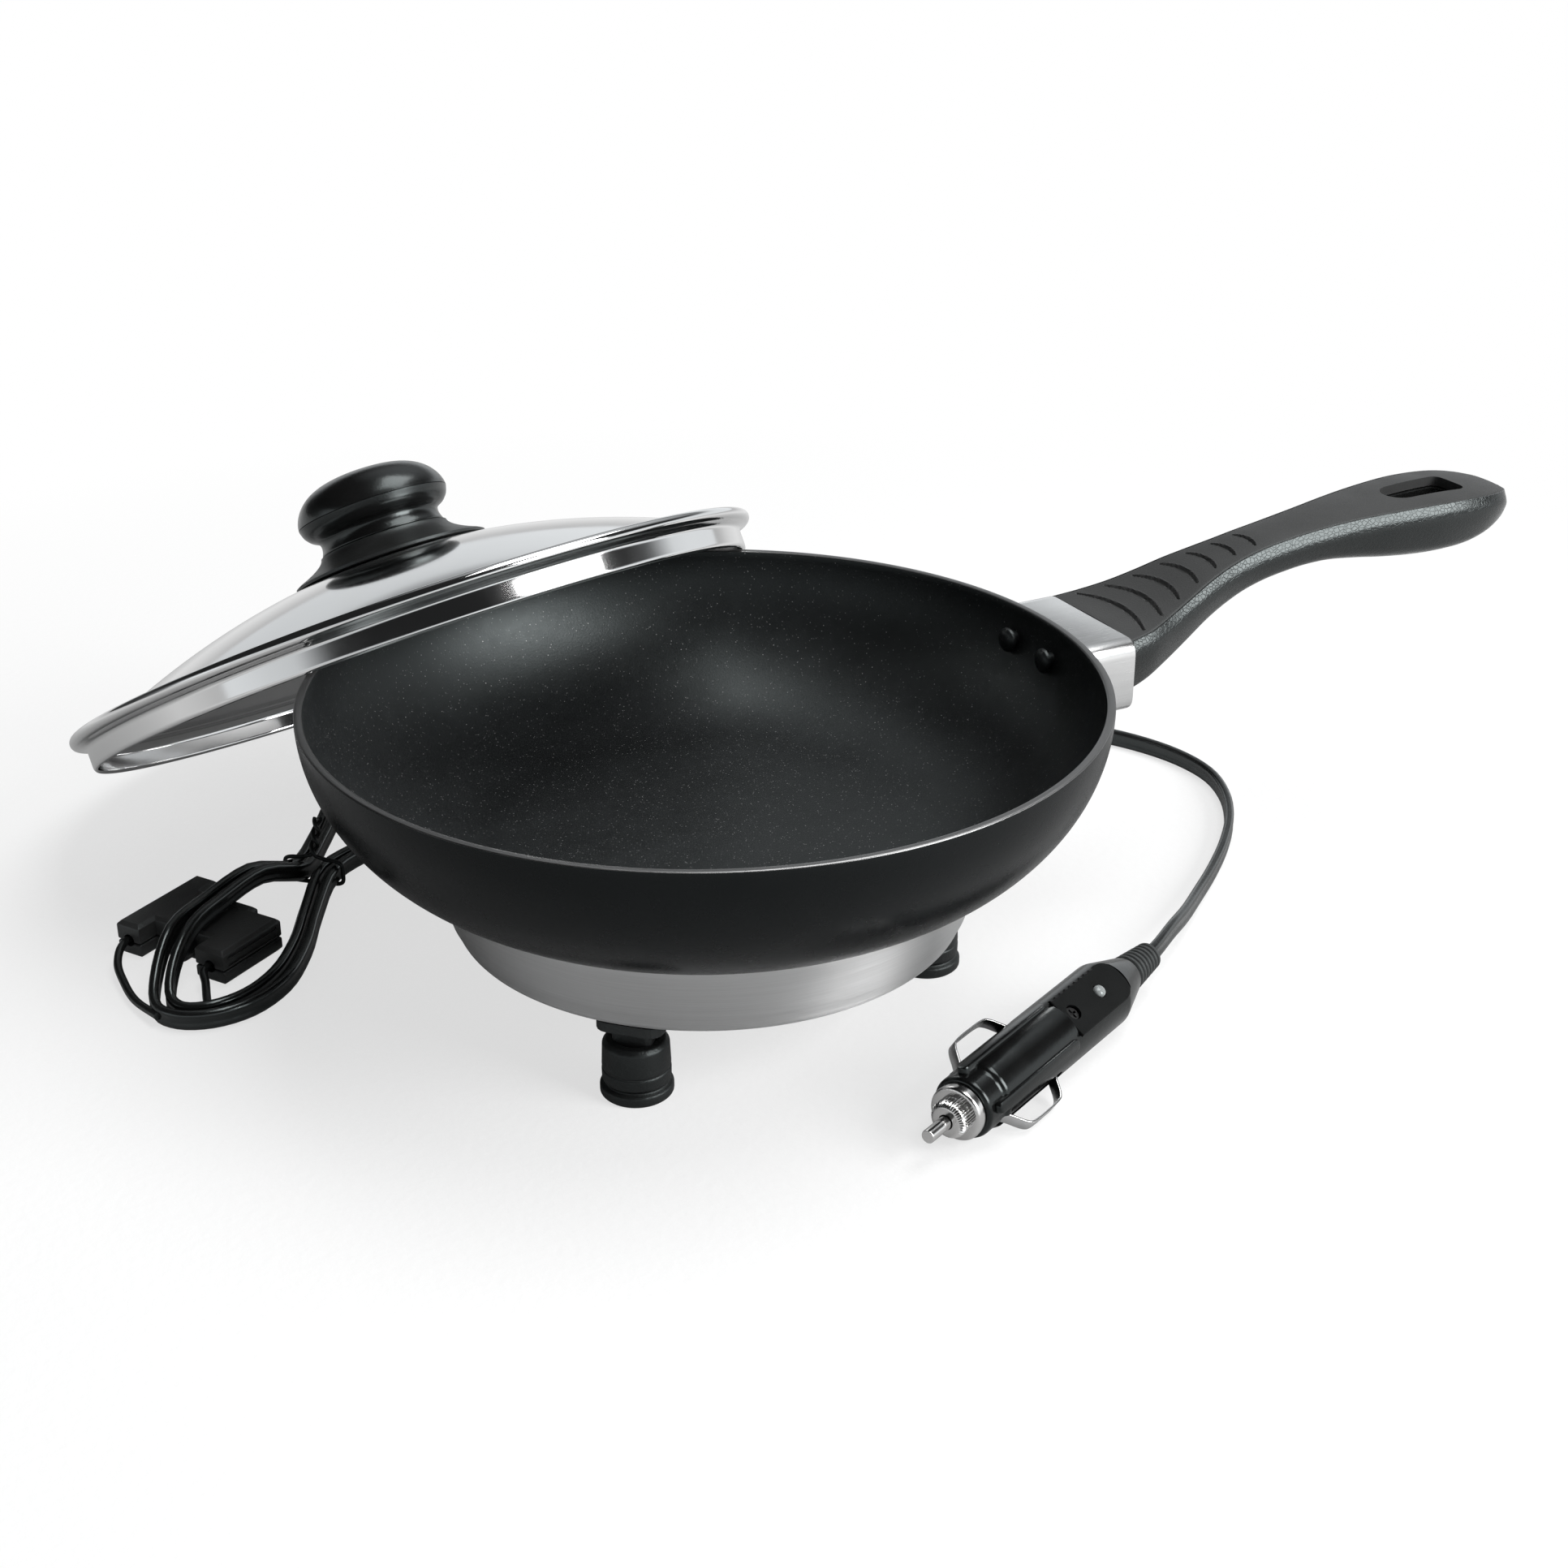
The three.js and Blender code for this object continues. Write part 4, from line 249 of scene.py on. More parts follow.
def stadium(length, width, radius, steps=6, along=0):
    """A rectangle with rounded corners, moved along X."""
    low, high, side = along - length / 2, along + length / 2, width / 2
    return rounded([(low, -side), (high, -side), (high, side), (low, side)], radius, steps, True)


def tool(points, faces, matrix=PAN):
    return shaped("cutting_tool", points, faces, matrix, None, body=None)


def prism_tool(outline, low, high, matrix=PAN):
    return tool(*lofted(extruded(outline, [(low, 0), (high, 0)])), matrix)


def apply_all(piece):
    """Makes a piece's modifiers part of its mesh."""
    graph = bpy.context.evaluated_depsgraph_get()
    piece.data = bpy.data.meshes.new_from_object(piece.evaluated_get(graph))
    piece.modifiers.clear()


def cut(piece, tools, operation="DIFFERENCE", crease=32):
    """Applies each tool to the piece by an exact boolean and removes the tool."""
    for cutter in tools:
        modifier = piece.modifiers.new("shape", "BOOLEAN")
        modifier.operation = operation
        modifier.solver = "EXACT"
        modifier.object = cutter
        apply_all(piece)
        bpy.data.objects.remove(cutter)
    piece.data.shade_smooth()
    piece.data.set_sharp_from_angle(angle=radians(crease))


def stands_for(piece, slot, *nodes):
    """Hides the nodes that a finished piece replaces and gives it its own frame's coordinates. The slot is
    not used.
    """
    back = own_frames[piece].inverted()
    kept = piece.data.attributes.new("own_place", "FLOAT_VECTOR", "POINT")
    kept.data.foreach_set("vector", [c for vertex in piece.data.vertices for c in back @ vertex.co])
    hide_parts(*nodes)


# Materials


class Nodes:
    """Adds shader nodes to a tree. A value given for an input may be a socket, which is then linked."""

    def __init__(self, tree):
        self.tree = tree

    def node(self, kind, settings=None, **inputs):
        """A node with its inputs by name, or by place as i0, i1."""
        made = self.tree.nodes.new("ShaderNode" + kind)
        for key, value in (settings or {}).items():
            setattr(made, key, value)
        for key, value in inputs.items():
            by_place = key[0] == "i" and key[1:].isdigit()
            socket = made.inputs[int(key[1:]) if by_place else key.replace("_", " ")]
            if isinstance(value, bpy.types.NodeSocket):
                self.tree.links.new(value, socket)
            else:
                socket.default_value = value
        return made

    def math(self, operation, a, b=0.0):
        return self.node("Math", {"operation": operation}, i0=a, i1=b).outputs[0]

    def plus(self, a, b):
        return self.math("ADD", a, b)

    def times(self, a, b):
        return self.math("MULTIPLY", a, b)

    def ramp(self, value, low, high, to_low=0.0, to_high=1.0):
        limits = {"From_Min": low, "From_Max": high, "To_Min": to_low, "To_Max": to_high}
        return self.node("MapRange", Value=value, **limits).outputs["Result"]

    def mixed(self, amount, a, b):
        """One shader over another."""
        return self.node("MixShader", i0=amount, i1=a, i2=b).outputs[0]


COOL_TINT = (0.90, 1, 1, 1)


class Finish(Nodes):
    """One material round a Principled shader, in each piece's own frame."""

    def __init__(self, name, color, roughness, metallic=0, carried=False, **constants):
        self.material = bpy.data.materials.new(name)
        self.material.use_nodes = True
        super().__init__(self.material.node_tree)
        self.shader = self.tree.nodes["Principled BSDF"]
        if not metallic:
            constants["Specular_Tint"] = COOL_TINT
        constants.update(Base_Color=(*color, 1), Roughness=roughness, Metallic=metallic)
        for key, value in constants.items():
            self.shader.inputs[key.replace("_", " ")].default_value = value
        if carried:
            object_place = self.node("TexCoord").outputs["Object"]
            self.place = self.node("Mapping", Vector=object_place, Location=-SHIFT * MM).outputs[0]
        else:
            self.place = self.node("Attribute", {"attribute_name": "own_place"}).outputs["Vector"]

    def noise(self, scale, detail=3, roughness=0.5, place=None):
        kept = {"Scale": scale, "Detail": detail, "Roughness": roughness}
        return self.node("TexNoise", Vector=place or self.place, **kept).outputs["Fac"]

    def cells(self, scale, feature="F1", place=None):
        place = place or self.place
        return self.node("TexVoronoi", {"feature": feature}, Vector=place, Scale=scale).outputs

    def stretch(self, *scale):
        return self.node("Mapping", Vector=self.place, Scale=scale).outputs["Vector"]

    def blend(self, amount, a, b):
        a, b = [(*value, 1) if isinstance(value, tuple) else value for value in (a, b)]
        return self.node("Mix", {"data_type": "RGBA"}, i0=amount, i6=a, i7=b).outputs[2]

    def around(self):
        """(angle, height, radius) round the frame's Z, as three sockets."""
        x, y, z = self.node("SeparateXYZ", Vector=self.place).outputs
        radius = self.math("SQRT", self.plus(self.times(x, x), self.times(y, y)))
        return self.math("ARCTAN2", y, x), z, radius

    def vector(self, x, y, z):
        return self.node("CombineXYZ", X=x, Y=y, Z=z).outputs[0]

    def drive(self, name, socket):
        self.tree.links.new(socket, self.shader.inputs[name])

    def color(self, socket):
        self.drive("Base Color", socket)

    def rough(self, socket):
        self.drive("Roughness", socket)

    def uneven(self, scale, detail, low, high, spread=0.5):
        """A roughness that wanders between two values."""
        half = spread / 2
        self.rough(self.ramp(self.noise(scale, detail), 0.5 - half, 0.5 + half, low, high))

    def bump(self, height, distance):
        self.drive("Normal", self.node("Bump", Height=height, Distance=distance, Strength=1.0).outputs[0])


def gray(value, warm=0.0):
    return (value * (1 + warm), value, value * (1 - warm))


def worn(finish, base, dust, scale=40):
    """Faint uneven colour, as handling leaves on a moulded or coated surface."""
    patches = finish.ramp(finish.noise(scale, 5, 0.62), 0.3, 0.8)
    finish.color(finish.blend(patches, base, dust))


def moulded(name, base, dust, roughness, grain, depth, spread=0.08, **constants):
    """Moulded plastic or rubber: a fine grain, soft patches and an uneven gloss."""
    made = Finish(name, base, roughness, **constants)
    worn(made, base, dust)
    made.uneven(90, 4, roughness - spread, roughness + spread)
    pebbles = made.cells(grain, "SMOOTH_F1")["Distance"]
    made.bump(made.plus(pebbles, made.noise(grain * 1.7, 2)), depth)
    return made.material


def brushed(name, color, streak, roughness, fine=900, spread=0.1, lengthwise=None, carried=False, flare=0):
    """Metal with fine parallel lines, round the frame's Z or along one of its axes."""
    made = Finish(name, color, roughness, 1, carried)
    if lengthwise is None:
        angle, height, radius = made.around()
        climb = made.plus(height, radius)
        place = made.vector(made.times(angle, 0.8), made.times(climb, fine), 0.0)
        lines = made.noise(4, 6, 0.7, place)
        broad = made.noise(1, 3, 0.5, place)
    else:
        lines = made.noise(fine, 5, 0.7, made.stretch(*lengthwise))
        broad = made.noise(fine * 0.2, 3, 0.5, made.stretch(*lengthwise))
    both = made.plus(made.times(lines, 0.65), made.times(broad, 0.35))
    made.color(made.blend(made.ramp(both, 0.3, 0.7), color, streak))
    made.rough(made.ramp(lines, 0.25, 0.75, roughness - spread, roughness + spread))
    made.bump(lines, 0.00001)
    if flare:
        made.shader.inputs["Anisotropic"].default_value = flare
        made.drive("Tangent", made.vector(0.0, 0.0, 1.0))
    return made.material


def non_stick_finish():
    base, light = gray(0.005, -0.06), gray(0.009, -0.06)
    made = Finish("non_stick_coating", base, 0.42)
    flakes = made.cells(1900)
    chosen = made.ramp(flakes["Color"], 0.80, 0.97)
    near = made.ramp(flakes["Distance"], 0.42, 0.12)
    glint = made.times(chosen, near)
    cloud = made.blend(made.ramp(made.noise(60, 5, 0.6), 0.3, 0.75), base, light)
    made.color(made.blend(glint, cloud, gray(0.42)))
    made.drive("Metallic", glint)
    made.uneven(260, 4, 0.39, 0.44, 0.4)
    made.bump(made.noise(1500, 3, 0.6), 0.00004)
    return made.material


def outer_coating():
    base, light = gray(0.004, -0.08), gray(0.007, -0.06)
    made = Finish("outer_enamel", base, 0.34, Specular_IOR_Level=0.15)
    worn(made, base, light, 18)
    made.uneven(120, 5, 0.25, 0.29, 0.4)
    made.bump(made.noise(700, 4, 0.6), 0.00003)
    return made.material


def polished(name, color, roughness, line_scale=2600):
    """Polished metal with the faint rings that spinning leaves, and thumbed patches."""
    made = Finish(name, color, roughness, 1)
    angle, height, radius = made.around()
    place = made.vector(made.times(angle, 0.3), made.times(radius, line_scale), height)
    lines = made.noise(1, 4, 0.6, place)
    smears = made.ramp(made.noise(26, 5, 0.6), 0.45, 0.75)
    spread = made.plus(made.times(smears, 0.07), made.times(lines, 0.05))
    made.rough(made.plus(spread, roughness))
    duller = tuple(c * 0.93 for c in color)
    made.color(made.blend(made.ramp(made.noise(14, 4), 0.35, 0.7), color, duller))
    made.bump(lines, 0.0000012)
    return made.material


def grip_leather():
    """The grip's moulded hide grain: raised pebbles with fine creases between them."""
    base, rubbed = gray(0.004), gray(0.009)
    made = Finish("grip_grain", base, 0.30, Specular_IOR_Level=0.42)
    drawn_out = made.stretch(0.8, 1, 1)
    pebbles = made.cells(1100, "SMOOTH_F1", drawn_out)["Distance"]
    creases = made.cells(800, "DISTANCE_TO_EDGE", drawn_out)["Distance"]
    raised = made.ramp(creases, 0.0, 0.12)
    patches = made.ramp(made.noise(38, 5), 0.3, 0.8)
    made.color(made.blend(made.times(raised, patches), base, rubbed))
    made.rough(made.ramp(raised, 0, 1, 0.34, 0.22))
    made.bump(made.math("SUBTRACT", raised, made.times(pebbles, 0.7)), 0.000028)
    return made.material


def cord_sheath():
    made = Finish("cord_sheath", gray(0.009), 0.22, Specular_IOR_Level=0.75)
    worn(made, gray(0.009), gray(0.017), 70)
    made.uneven(240, 4, 0.17, 0.27, 0.4)
    made.bump(made.noise(900, 3), 0.00003)
    return made.material


def lamp_lens():
    made = Finish("lamp_lens", (0.34, 0.36, 0.36), 0.12, Transmission_Weight=0.4, IOR=1.49)
    made.color(made.blend(made.noise(900, 2), (0.42, 0.44, 0.44), (0.26, 0.28, 0.28)))
    made.bump(made.cells(1500)["Distance"], 0.00005)
    return made.material


def mineral(name, base, other, roughness, scale):
    made = Finish(name, base, roughness, carried=True)
    made.color(made.blend(made.ramp(made.noise(scale, 6, 0.65), 0.3, 0.7), base, other))
    made.bump(made.noise(scale * 6, 4), 0.00006)
    made.uneven(scale * 2, 4, roughness - 0.08, roughness + 0.05, 0.4)
    return made.material


NON_STICK = non_stick_finish()
ENAMEL = outer_coating()
BASE_STEEL = brushed("base_brushed_steel", gray(0.60), gray(0.72), 0.42, spread=0.06, flare=0.9)
RIM_EDGE = brushed("rim_turned_edge", gray(0.15), gray(0.24), 0.34, fine=1500)
COLLAR_STEEL = brushed(
    "collar_satin_steel", gray(0.66), gray(0.74), 0.24, 1400, 0.06, lengthwise=(0.05, 1, 1))
LID_STEEL = polished("lid_polished_steel", gray(0.70), 0.05)
PLATED = polished("nickel_plate", gray(0.72, 0.01), 0.14, 5200)
SPRING_STRIP = brushed(
    "contact_strip", gray(0.60), gray(0.70), 0.22, 2400, 0.05, lengthwise=(0.05, 1, 1))
ZINC = brushed("zinc_plate", gray(0.42), gray(0.52, 0.01), 0.38, 1500, carried=True)
BLACKED = brushed("blacked_screw", gray(0.05), gray(0.09), 0.34, 1500, carried=True)
RESISTANCE = brushed("resistance_ribbon", gray(0.30, 0.06), gray(0.38, 0.04), 0.40, 1300, carried=True)
GRIP = grip_leather()
INSERT = moulded(
    "insert_satin", gray(0.036), gray(0.047), 0.46, 2100, 0.00003, 0.05, Specular_IOR_Level=0.18)
KNOB_GLOSS = moulded("knob_gloss", gray(0.004), gray(0.008), 0.24, 900, 0.00002, 0.05)
KNOB_MATTE = moulded("knob_matte", gray(0.009), gray(0.015), 0.42, 2000, 0.00004, 0.06)
PLUG_GLOSS = moulded(
    "plug_gloss", gray(0.003), gray(0.006), 0.19, 420, 0.00002, 0.05, Specular_IOR_Level=0.4)
PANEL_SATIN = moulded(
    "panel_satin", gray(0.003), gray(0.006), 0.40, 2300, 0.00003, 0.05, Specular_IOR_Level=0.12)
RELIEF_RUBBER = moulded("relief_rubber", gray(0.016), gray(0.026), 0.50, 1500, 0.00004)
FOOT_RUBBER = moulded("foot_rubber", gray(0.004), gray(0.009), 0.46, 1100, 0.00006)
BRACKET_PLASTIC = moulded("bracket_plastic", gray(0.012), gray(0.020), 0.46, 1500, 0.00005, carried=True)
FUSE_PLASTIC = moulded("fuse_plastic", gray(0.050), gray(0.066), 0.34, 1700, 0.00005, 0.07)
CORD = cord_sheath()
LENS = lamp_lens()
MICA = mineral("mica_sheet", (0.40, 0.32, 0.17), (0.52, 0.44, 0.28), 0.5, 60)
FELT = mineral("ceramic_felt", gray(0.72, 0.02), gray(0.60, 0.03), 0.92, 220)
CERAMIC = mineral("steatite_block", gray(0.76, 0.03), gray(0.68, 0.04), 0.42, 90)

# Finishes of the source's own nodes

CARRIED = (
    (MICA, "mica_sheet_upper mica_sheet_lower"),
    (RESISTANCE, "heating_element"),
    (FELT, "insulation_pad"),
    (CERAMIC, "terminal_block"),
    (BRACKET_PLASTIC, "foot_bracket_1 foot_bracket_2 foot_bracket_3"),
    (BLACKED, "plug_screw"),
    (ZINC, "foot_screw_1 foot_screw_2 foot_screw_3 base_cover clamp_plate clamp_screw thermal_cutout"),
    (ZINC, "handle_bracket handle_screw knob_washer knob_screw fuse_link"),
)
for material, names in CARRIED:
    for node_name in names.split():
        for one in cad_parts[node_name].material_slots:
            one.link = "OBJECT"
            one.material = material

# Lead: one flat twin cord from the gland through the hank to the plug

CORD_WIDTH = 6.5
CORD_THICKNESS = 3.2
GLAND_TURN = radians(116.6)
GLAND_HEIGHT = 38
GLAND_WAY = Vector((cos(GLAND_TURN), sin(GLAND_TURN), 0))
GLAND_TIP = 104.94
HANK_CENTRE = Vector((-90.3, 118.5, 0))
HANK_TURN = radians(47.6)
HANK_HALF = 98
HANK_LOBE = 19.6
HANK_DRIFT = 3
HANK_PITCH = 4.7
HANK_START = radians(-45)
HANK_END = radians(660)
HANK_STEP = radians(15)
HANK_RISE = (8, 19)
HANK_FALL = (68, 24)
TABLE_GAP = 0.35
TIE_LIFT = 1.9
TIE_SPAN = 9
SEAT = 0.3
FUSE_HEIGHT = 12
LEAD_ROUTE = [
    (-48.9, 97.8, 37.8), (-51, 102, 36.8), (-53.6, 107.4, 33.8), (-55.6, 113.6, 29.4),
    (-56.8, 120.6, 23.8), (-57.2, 128.6, 18.2), (-57.2, 136.6, 13.6), (-56, 143, 10.2),
    (-51.7, 148.3, 6.8), (-46.1, 152.6, 4.4),
]
TABLE_ROUTE = [
    (-35.8, 150), (-28.9, 157.3), (-22.7, 165.1), (-16.5, 173), (-8.5, 181), (4, 188.5),
    (20, 193), (38, 194), (57, 192), (77, 187), (97, 179), (117, 169), (136, 157),
    (155, 143), (173, 128), (190, 112), (205, 95), (217, 76), (223.5, 57), (224, 39),
    (218, 22), (207.5, 6), (193.5, -9),
]
PLUG_ROUTE = [(x, y, 3.6) for x, y in TABLE_ROUTE] + [
    (177, -23.5, 3.9), (160.5, -37, 5.4), (146, -49, 7.6), (133.5, -58.4, 9.8),
]
PLUG_TIP = Vector((4, -122.3, 10.7))
PLUG_TURN = radians(25.1)
PLUG_WAY = Vector((cos(PLUG_TURN), sin(PLUG_TURN), 0))
PLUG_ROLL = radians(32)
PLUG_LENGTH = 124.3


def eased_share(place, start, length):
    t = min(max((place - start) / length, 0), 1)
    return t * t * (3 - 2 * t)


def hank_local(angle):
    """The cord's middle line: a spiral, drawn in at the waist and lifted over the fuse box."""
    inset = HANK_PITCH * (HANK_END - angle) / (2 * pi)
    waist = HANK_PITCH * (angle - HANK_START) / (2 * pi)
    lobe = HANK_LOBE - inset
    u = (HANK_HALF - inset) * cos(angle)
    spread = sin(2 * angle) ** 2
    across = sqrt(lobe ** 2 * spread + waist ** 2 * sin(angle) ** 2)
    drift = HANK_DRIFT * spread if u < 0 else 0
    v = copysign(across, sin(angle)) - drift
    over = eased_share(-u, *HANK_RISE) * (1 - eased_share(-u, *HANK_FALL))
    lift = over * (FUSE_HEIGHT + SEAT * 2) if v + drift > 0 else 0
    tie_lift = TIE_LIFT * exp(-((u / TIE_SPAN) ** 2))
    return Vector((u, v, TABLE_GAP + CORD_WIDTH / 2 + max(lift, tie_lift)))


def hank_point(angle):
    return Quaternion(UP, HANK_TURN) @ hank_local(angle) + HANK_CENTRE


def cord_route():
    steps = round((HANK_END - HANK_START) / HANK_STEP)
    hank = [hank_point(HANK_START + HANK_STEP * i) for i in range(steps + 1)]
    tip = GLAND_WAY * GLAND_TIP + UP * GLAND_HEIGHT
    start = [tip - GLAND_WAY, tip + GLAND_WAY * (SEAT + CORD_THICKNESS)]
    relief = PLUG_TIP + PLUG_WAY * PLUG_LENGTH
    end = [relief + PLUG_WAY * (SEAT + CORD_THICKNESS), relief - PLUG_WAY]
    return start + LEAD_ROUTE + hank + PLUG_ROUTE + end


def twin_section():
    """Two round cores side by side with a fine valley between them, taller than wide."""
    core = CORD_THICKNESS / 2
    shift = CORD_WIDTH / 2 - core
    upper = arc((0, shift), (core, core), radians(-38), radians(218), 10)
    return upper + [(-x, -y) for x, y in upper]


lead_line = smooth_route(cord_route(), 4)
lead = shaped("lead_cord", *lofted(swept(lead_line, twin_section())), PAN, CORD, 60)
stands_for(lead, "cord_grey", "cord_lead", "cord_hank", "cord_to_plug")

# Gland and its tapered relief

gland_frame = frame_at((0, 0, GLAND_HEIGHT), UP.rotation_difference(GLAND_WAY))


def ringed(start, end, base, tip, count, depth):
    """A tapering row of rounded rings, as (radius, height) points."""
    pitch = (end - start) / count
    ring = ((0, 1), (0.12, 0.45), (0.25, 0.08), (0.45, 0), (0.65, 0.08), (0.8, 0.45), (0.9, 1))
    line = []
    for i in range(count):
        radius = base + (tip - base) * (i + 0.5) / count
        for share, drop in ring:
            line.append((radius - depth * drop, start + pitch * (i + share)))
    line.append((tip - depth, end))
    return line


GLAND_OUT = 82.94
gland_profile = [(0, 74.1), (4.8, 74.1), (4.8, GLAND_OUT)]
gland_profile += eased(
    [(4.8, GLAND_OUT), (6.8, GLAND_OUT), (6.8, GLAND_OUT + 2.4), (5.2, GLAND_OUT + 2.4)], 0.7)
gland_profile += ringed(GLAND_OUT + 2.5, GLAND_TIP, 5.4, 4.1, 6, 0.6) + [(0, GLAND_TIP)]
gland = lathe("lead_gland", gland_profile, 40, gland_frame, RELIEF_RUBBER)
stands_for(gland, "rubber_black", "cord_gland")

# Wire tie round the hank's waist, its ends twisted together

TIE_WIRE = 0.7


def tie_line():
    held = []
    for k in range(1129):
        point = hank_local(HANK_START + (HANK_END - HANK_START) * k / 1128)
        if abs(point.x) < TIE_SPAN / 2:
            held.append(point.y)
    side = (min(held) + max(held)) / 2
    half = (max(held) - min(held)) / 2 + CORD_THICKNESS / 2 + SEAT + TIE_WIRE
    low = TABLE_GAP + TIE_LIFT - SEAT - TIE_WIRE
    high = TABLE_GAP + TIE_LIFT + CORD_WIDTH + SEAT * 2 + TIE_WIRE
    around = []
    for i in range(73):
        angle = pi * (0.54 + 1.92 * i / 72)
        c, s = cos(angle), sin(angle)
        x = copysign(abs(c) ** 0.36, c)
        y = copysign(abs(s) ** 0.36, s)
        around.append(Vector((0, side + x * half, (low + high) / 2 + y * (high - low) / 2)))

    def tail(phase):
        made = []
        for i in range(1, 37):
            along = i / 36
            angle = phase + 3 * pi * along
            made.append(Vector((
                TIE_WIRE * 1.45 * sin(angle) + 13 * along * cos(radians(62)),
                side + TIE_WIRE * 1.45 * cos(angle),
                high + TIE_WIRE + 13 * along * sin(radians(62)),
            )))
        return made
    return tail(pi)[::-1] + around + tail(0)


tie_rings = swept(tie_line(), round_section(TIE_WIRE, 12), ROUND_X)
hank_frame = frame_at(HANK_CENTRE, Quaternion(UP, HANK_TURN))
tie = shaped("wire_tie", *lofted(tie_rings), hank_frame, FOOT_RUBBER, 60)
stands_for(tie, "rubber_black", "hank_tie")

# Pan

RIM_HEIGHT = 98
BASE_HEIGHT = 48
WALL_REACH = 60
WALL_DROP = 52.9
INNER_REACH = 51.4
INNER_DROP = 46
LIP_HEIGHT = 98.6
FOOT_CIRCLE = 68
FOOT_TURNS = (radians(101.8), radians(225.1), radians(338.4))


def wall_radius(height):
    drop = (RIM_HEIGHT - height) / WALL_DROP
    return WALL_REACH + WALL_REACH * sqrt(max(0, 1 - drop * drop))


def wall_height(radius):
    reach = (radius - WALL_REACH) / WALL_REACH
    return RIM_HEIGHT - WALL_DROP * sqrt(1 - reach * reach)


def pan_profile():
    lowest = asin((RIM_HEIGHT - BASE_HEIGHT) / WALL_DROP)
    line = [(0, BASE_HEIGHT), (40, BASE_HEIGHT)]
    line += arc((WALL_REACH, RIM_HEIGHT), (WALL_REACH, -WALL_DROP), lowest, 0, 36)
    lip = ((119.95, 0.3), (119.7, 0.08), (119.4, 0), (118.1, 0), (117.75, 0.1), (117.5, 0.3))
    line += [(radius, LIP_HEIGHT - drop) for radius, drop in lip]
    line += arc((66, RIM_HEIGHT), (INNER_REACH, -INNER_DROP), 0, pi / 2, 40)
    floor = RIM_HEIGHT - INNER_DROP
    return line + [(33, floor), (0, floor)]


pan_points, pan_faces = spun(pan_profile(), 220)


def add_boss(profile, x=0, y=0):
    first = len(pan_points)
    points, faces = spun(profile, 24)
    pan_points.extend((px + x, py + y, pz) for px, py, pz in points)
    pan_faces.extend([v + first for v in face] for face in faces)


for turn in FOOT_TURNS:
    foot_boss = [(0, 36.9), (2, 36.9), (2, 28.6), (4.6, 28.6), (4.6, 49)]
    add_boss(foot_boss, FOOT_CIRCLE * cos(turn), FOOT_CIRCLE * sin(turn))
add_boss([(0, 48.3), (2.8, 48.3), (2.8, 40), (6, 40), (6, 49)])
pan = shaped("pan_bowl", pan_points, pan_faces, PAN, NON_STICK, 40)
pan.data.materials.append(ENAMEL)
pan.data.materials.append(RIM_EDGE)
for face in pan.data.polygons:
    x, y, height = face.center / MM - SHIFT
    if height > LIP_HEIGHT - 0.35:
        face.material_index = 2
    elif height < BASE_HEIGHT + 0.01 or hypot(x, y) > wall_radius(height) - 1.3:
        face.material_index = 1
stands_for(pan, "non_stick", "pan_shell")

RIVET_HEIGHT = 88
RIVET_ACROSS = 10.6
RIVET_HEAD = 4
RIVET_SHANK = 2.4
rivet_wall = wall_radius(RIVET_HEIGHT)
inner = rivet_wall - 5.5
outer = rivet_wall + 6.3
rivet_line = arc((0, inner), (RIVET_HEAD, -1.8), pi / 2, 0, 8) + [
    (RIVET_HEAD, inner + 0.5), (RIVET_SHANK, inner + 0.5), (RIVET_SHANK, outer),
    (3.2, outer), (2.8, outer + 0.7), (0, outer + 0.9),
]
for number, side in ((1, -1), (2, 1)):
    turn = side * asin(RIVET_ACROSS / rivet_wall)
    lean = UP.rotation_difference(Vector((cos(turn), sin(turn), 0)))
    rivet = lathe(f"rivet_{number}", rivet_line, 40, frame_at((0, 0, RIVET_HEIGHT), lean), NON_STICK)
    stands_for(rivet, "non_stick", f"handle_rivet_{number}")

# Heated base

RING_LOW = 26
RING_LOW_RADIUS = 78.1
RING_TOP = wall_height(83) - SEAT
RING_TOP_RADIUS = 84
RING_BEND = (75.1, 29)


def housing_profile():
    slope = (RING_TOP_RADIUS - RING_LOW_RADIUS) / (RING_TOP - RING_LOW)
    line = [(62, RING_LOW)] + arc(RING_BEND, (3, -3), pi / 2, 0, 8)
    for i in range(1, 9):
        height = RING_BEND[1] + (RING_TOP - 0.4 - RING_BEND[1]) * i / 8
        line.append((RING_LOW_RADIUS + slope * (height - RING_LOW), height))
    for inset, drop in ((0.15, 0.08), (0.4, 0), (1, 0)):
        line.append((RING_TOP_RADIUS - inset, RING_TOP - drop))
    return line + arc(RING_BEND, (2, -2), 0, pi / 2, 8) + [(62, 27)]


housing = lathe("heater_ring", housing_profile(), 200, PAN, BASE_STEEL, True)
stands_for(housing, "brushed_steel", "heater_housing")

# Feet: a rubber cup with a lip, on a moulded bracket

cup_line = [(3.7, 4), (3.7, 0)] + eased([
    (9.9, 0), (10.7, 0.7), (10.7, 3.3), (9.6, 3.9), (9.3, 4.3), (9.6, 4.8), (10, 5.2), (10.05, 8.4),
    (9.75, 8.7), (9.75, 9.1), (10, 9.4), (9.7, 16.6), (8.6, 18), (6.2, 18), (6.2, 11), (0, 11),
], 0.5, 3)
for number, turn in enumerate(FOOT_TURNS, 1):
    foot_frame = frame_at((FOOT_CIRCLE * cos(turn), FOOT_CIRCLE * sin(turn), 0), Quaternion(UP, turn))
    cup = lathe(f"foot_cap_{number}", cup_line, 64, foot_frame, FOOT_RUBBER)
    stands_for(cup, "rubber_black", f"foot_cup_{number}")

# Handle

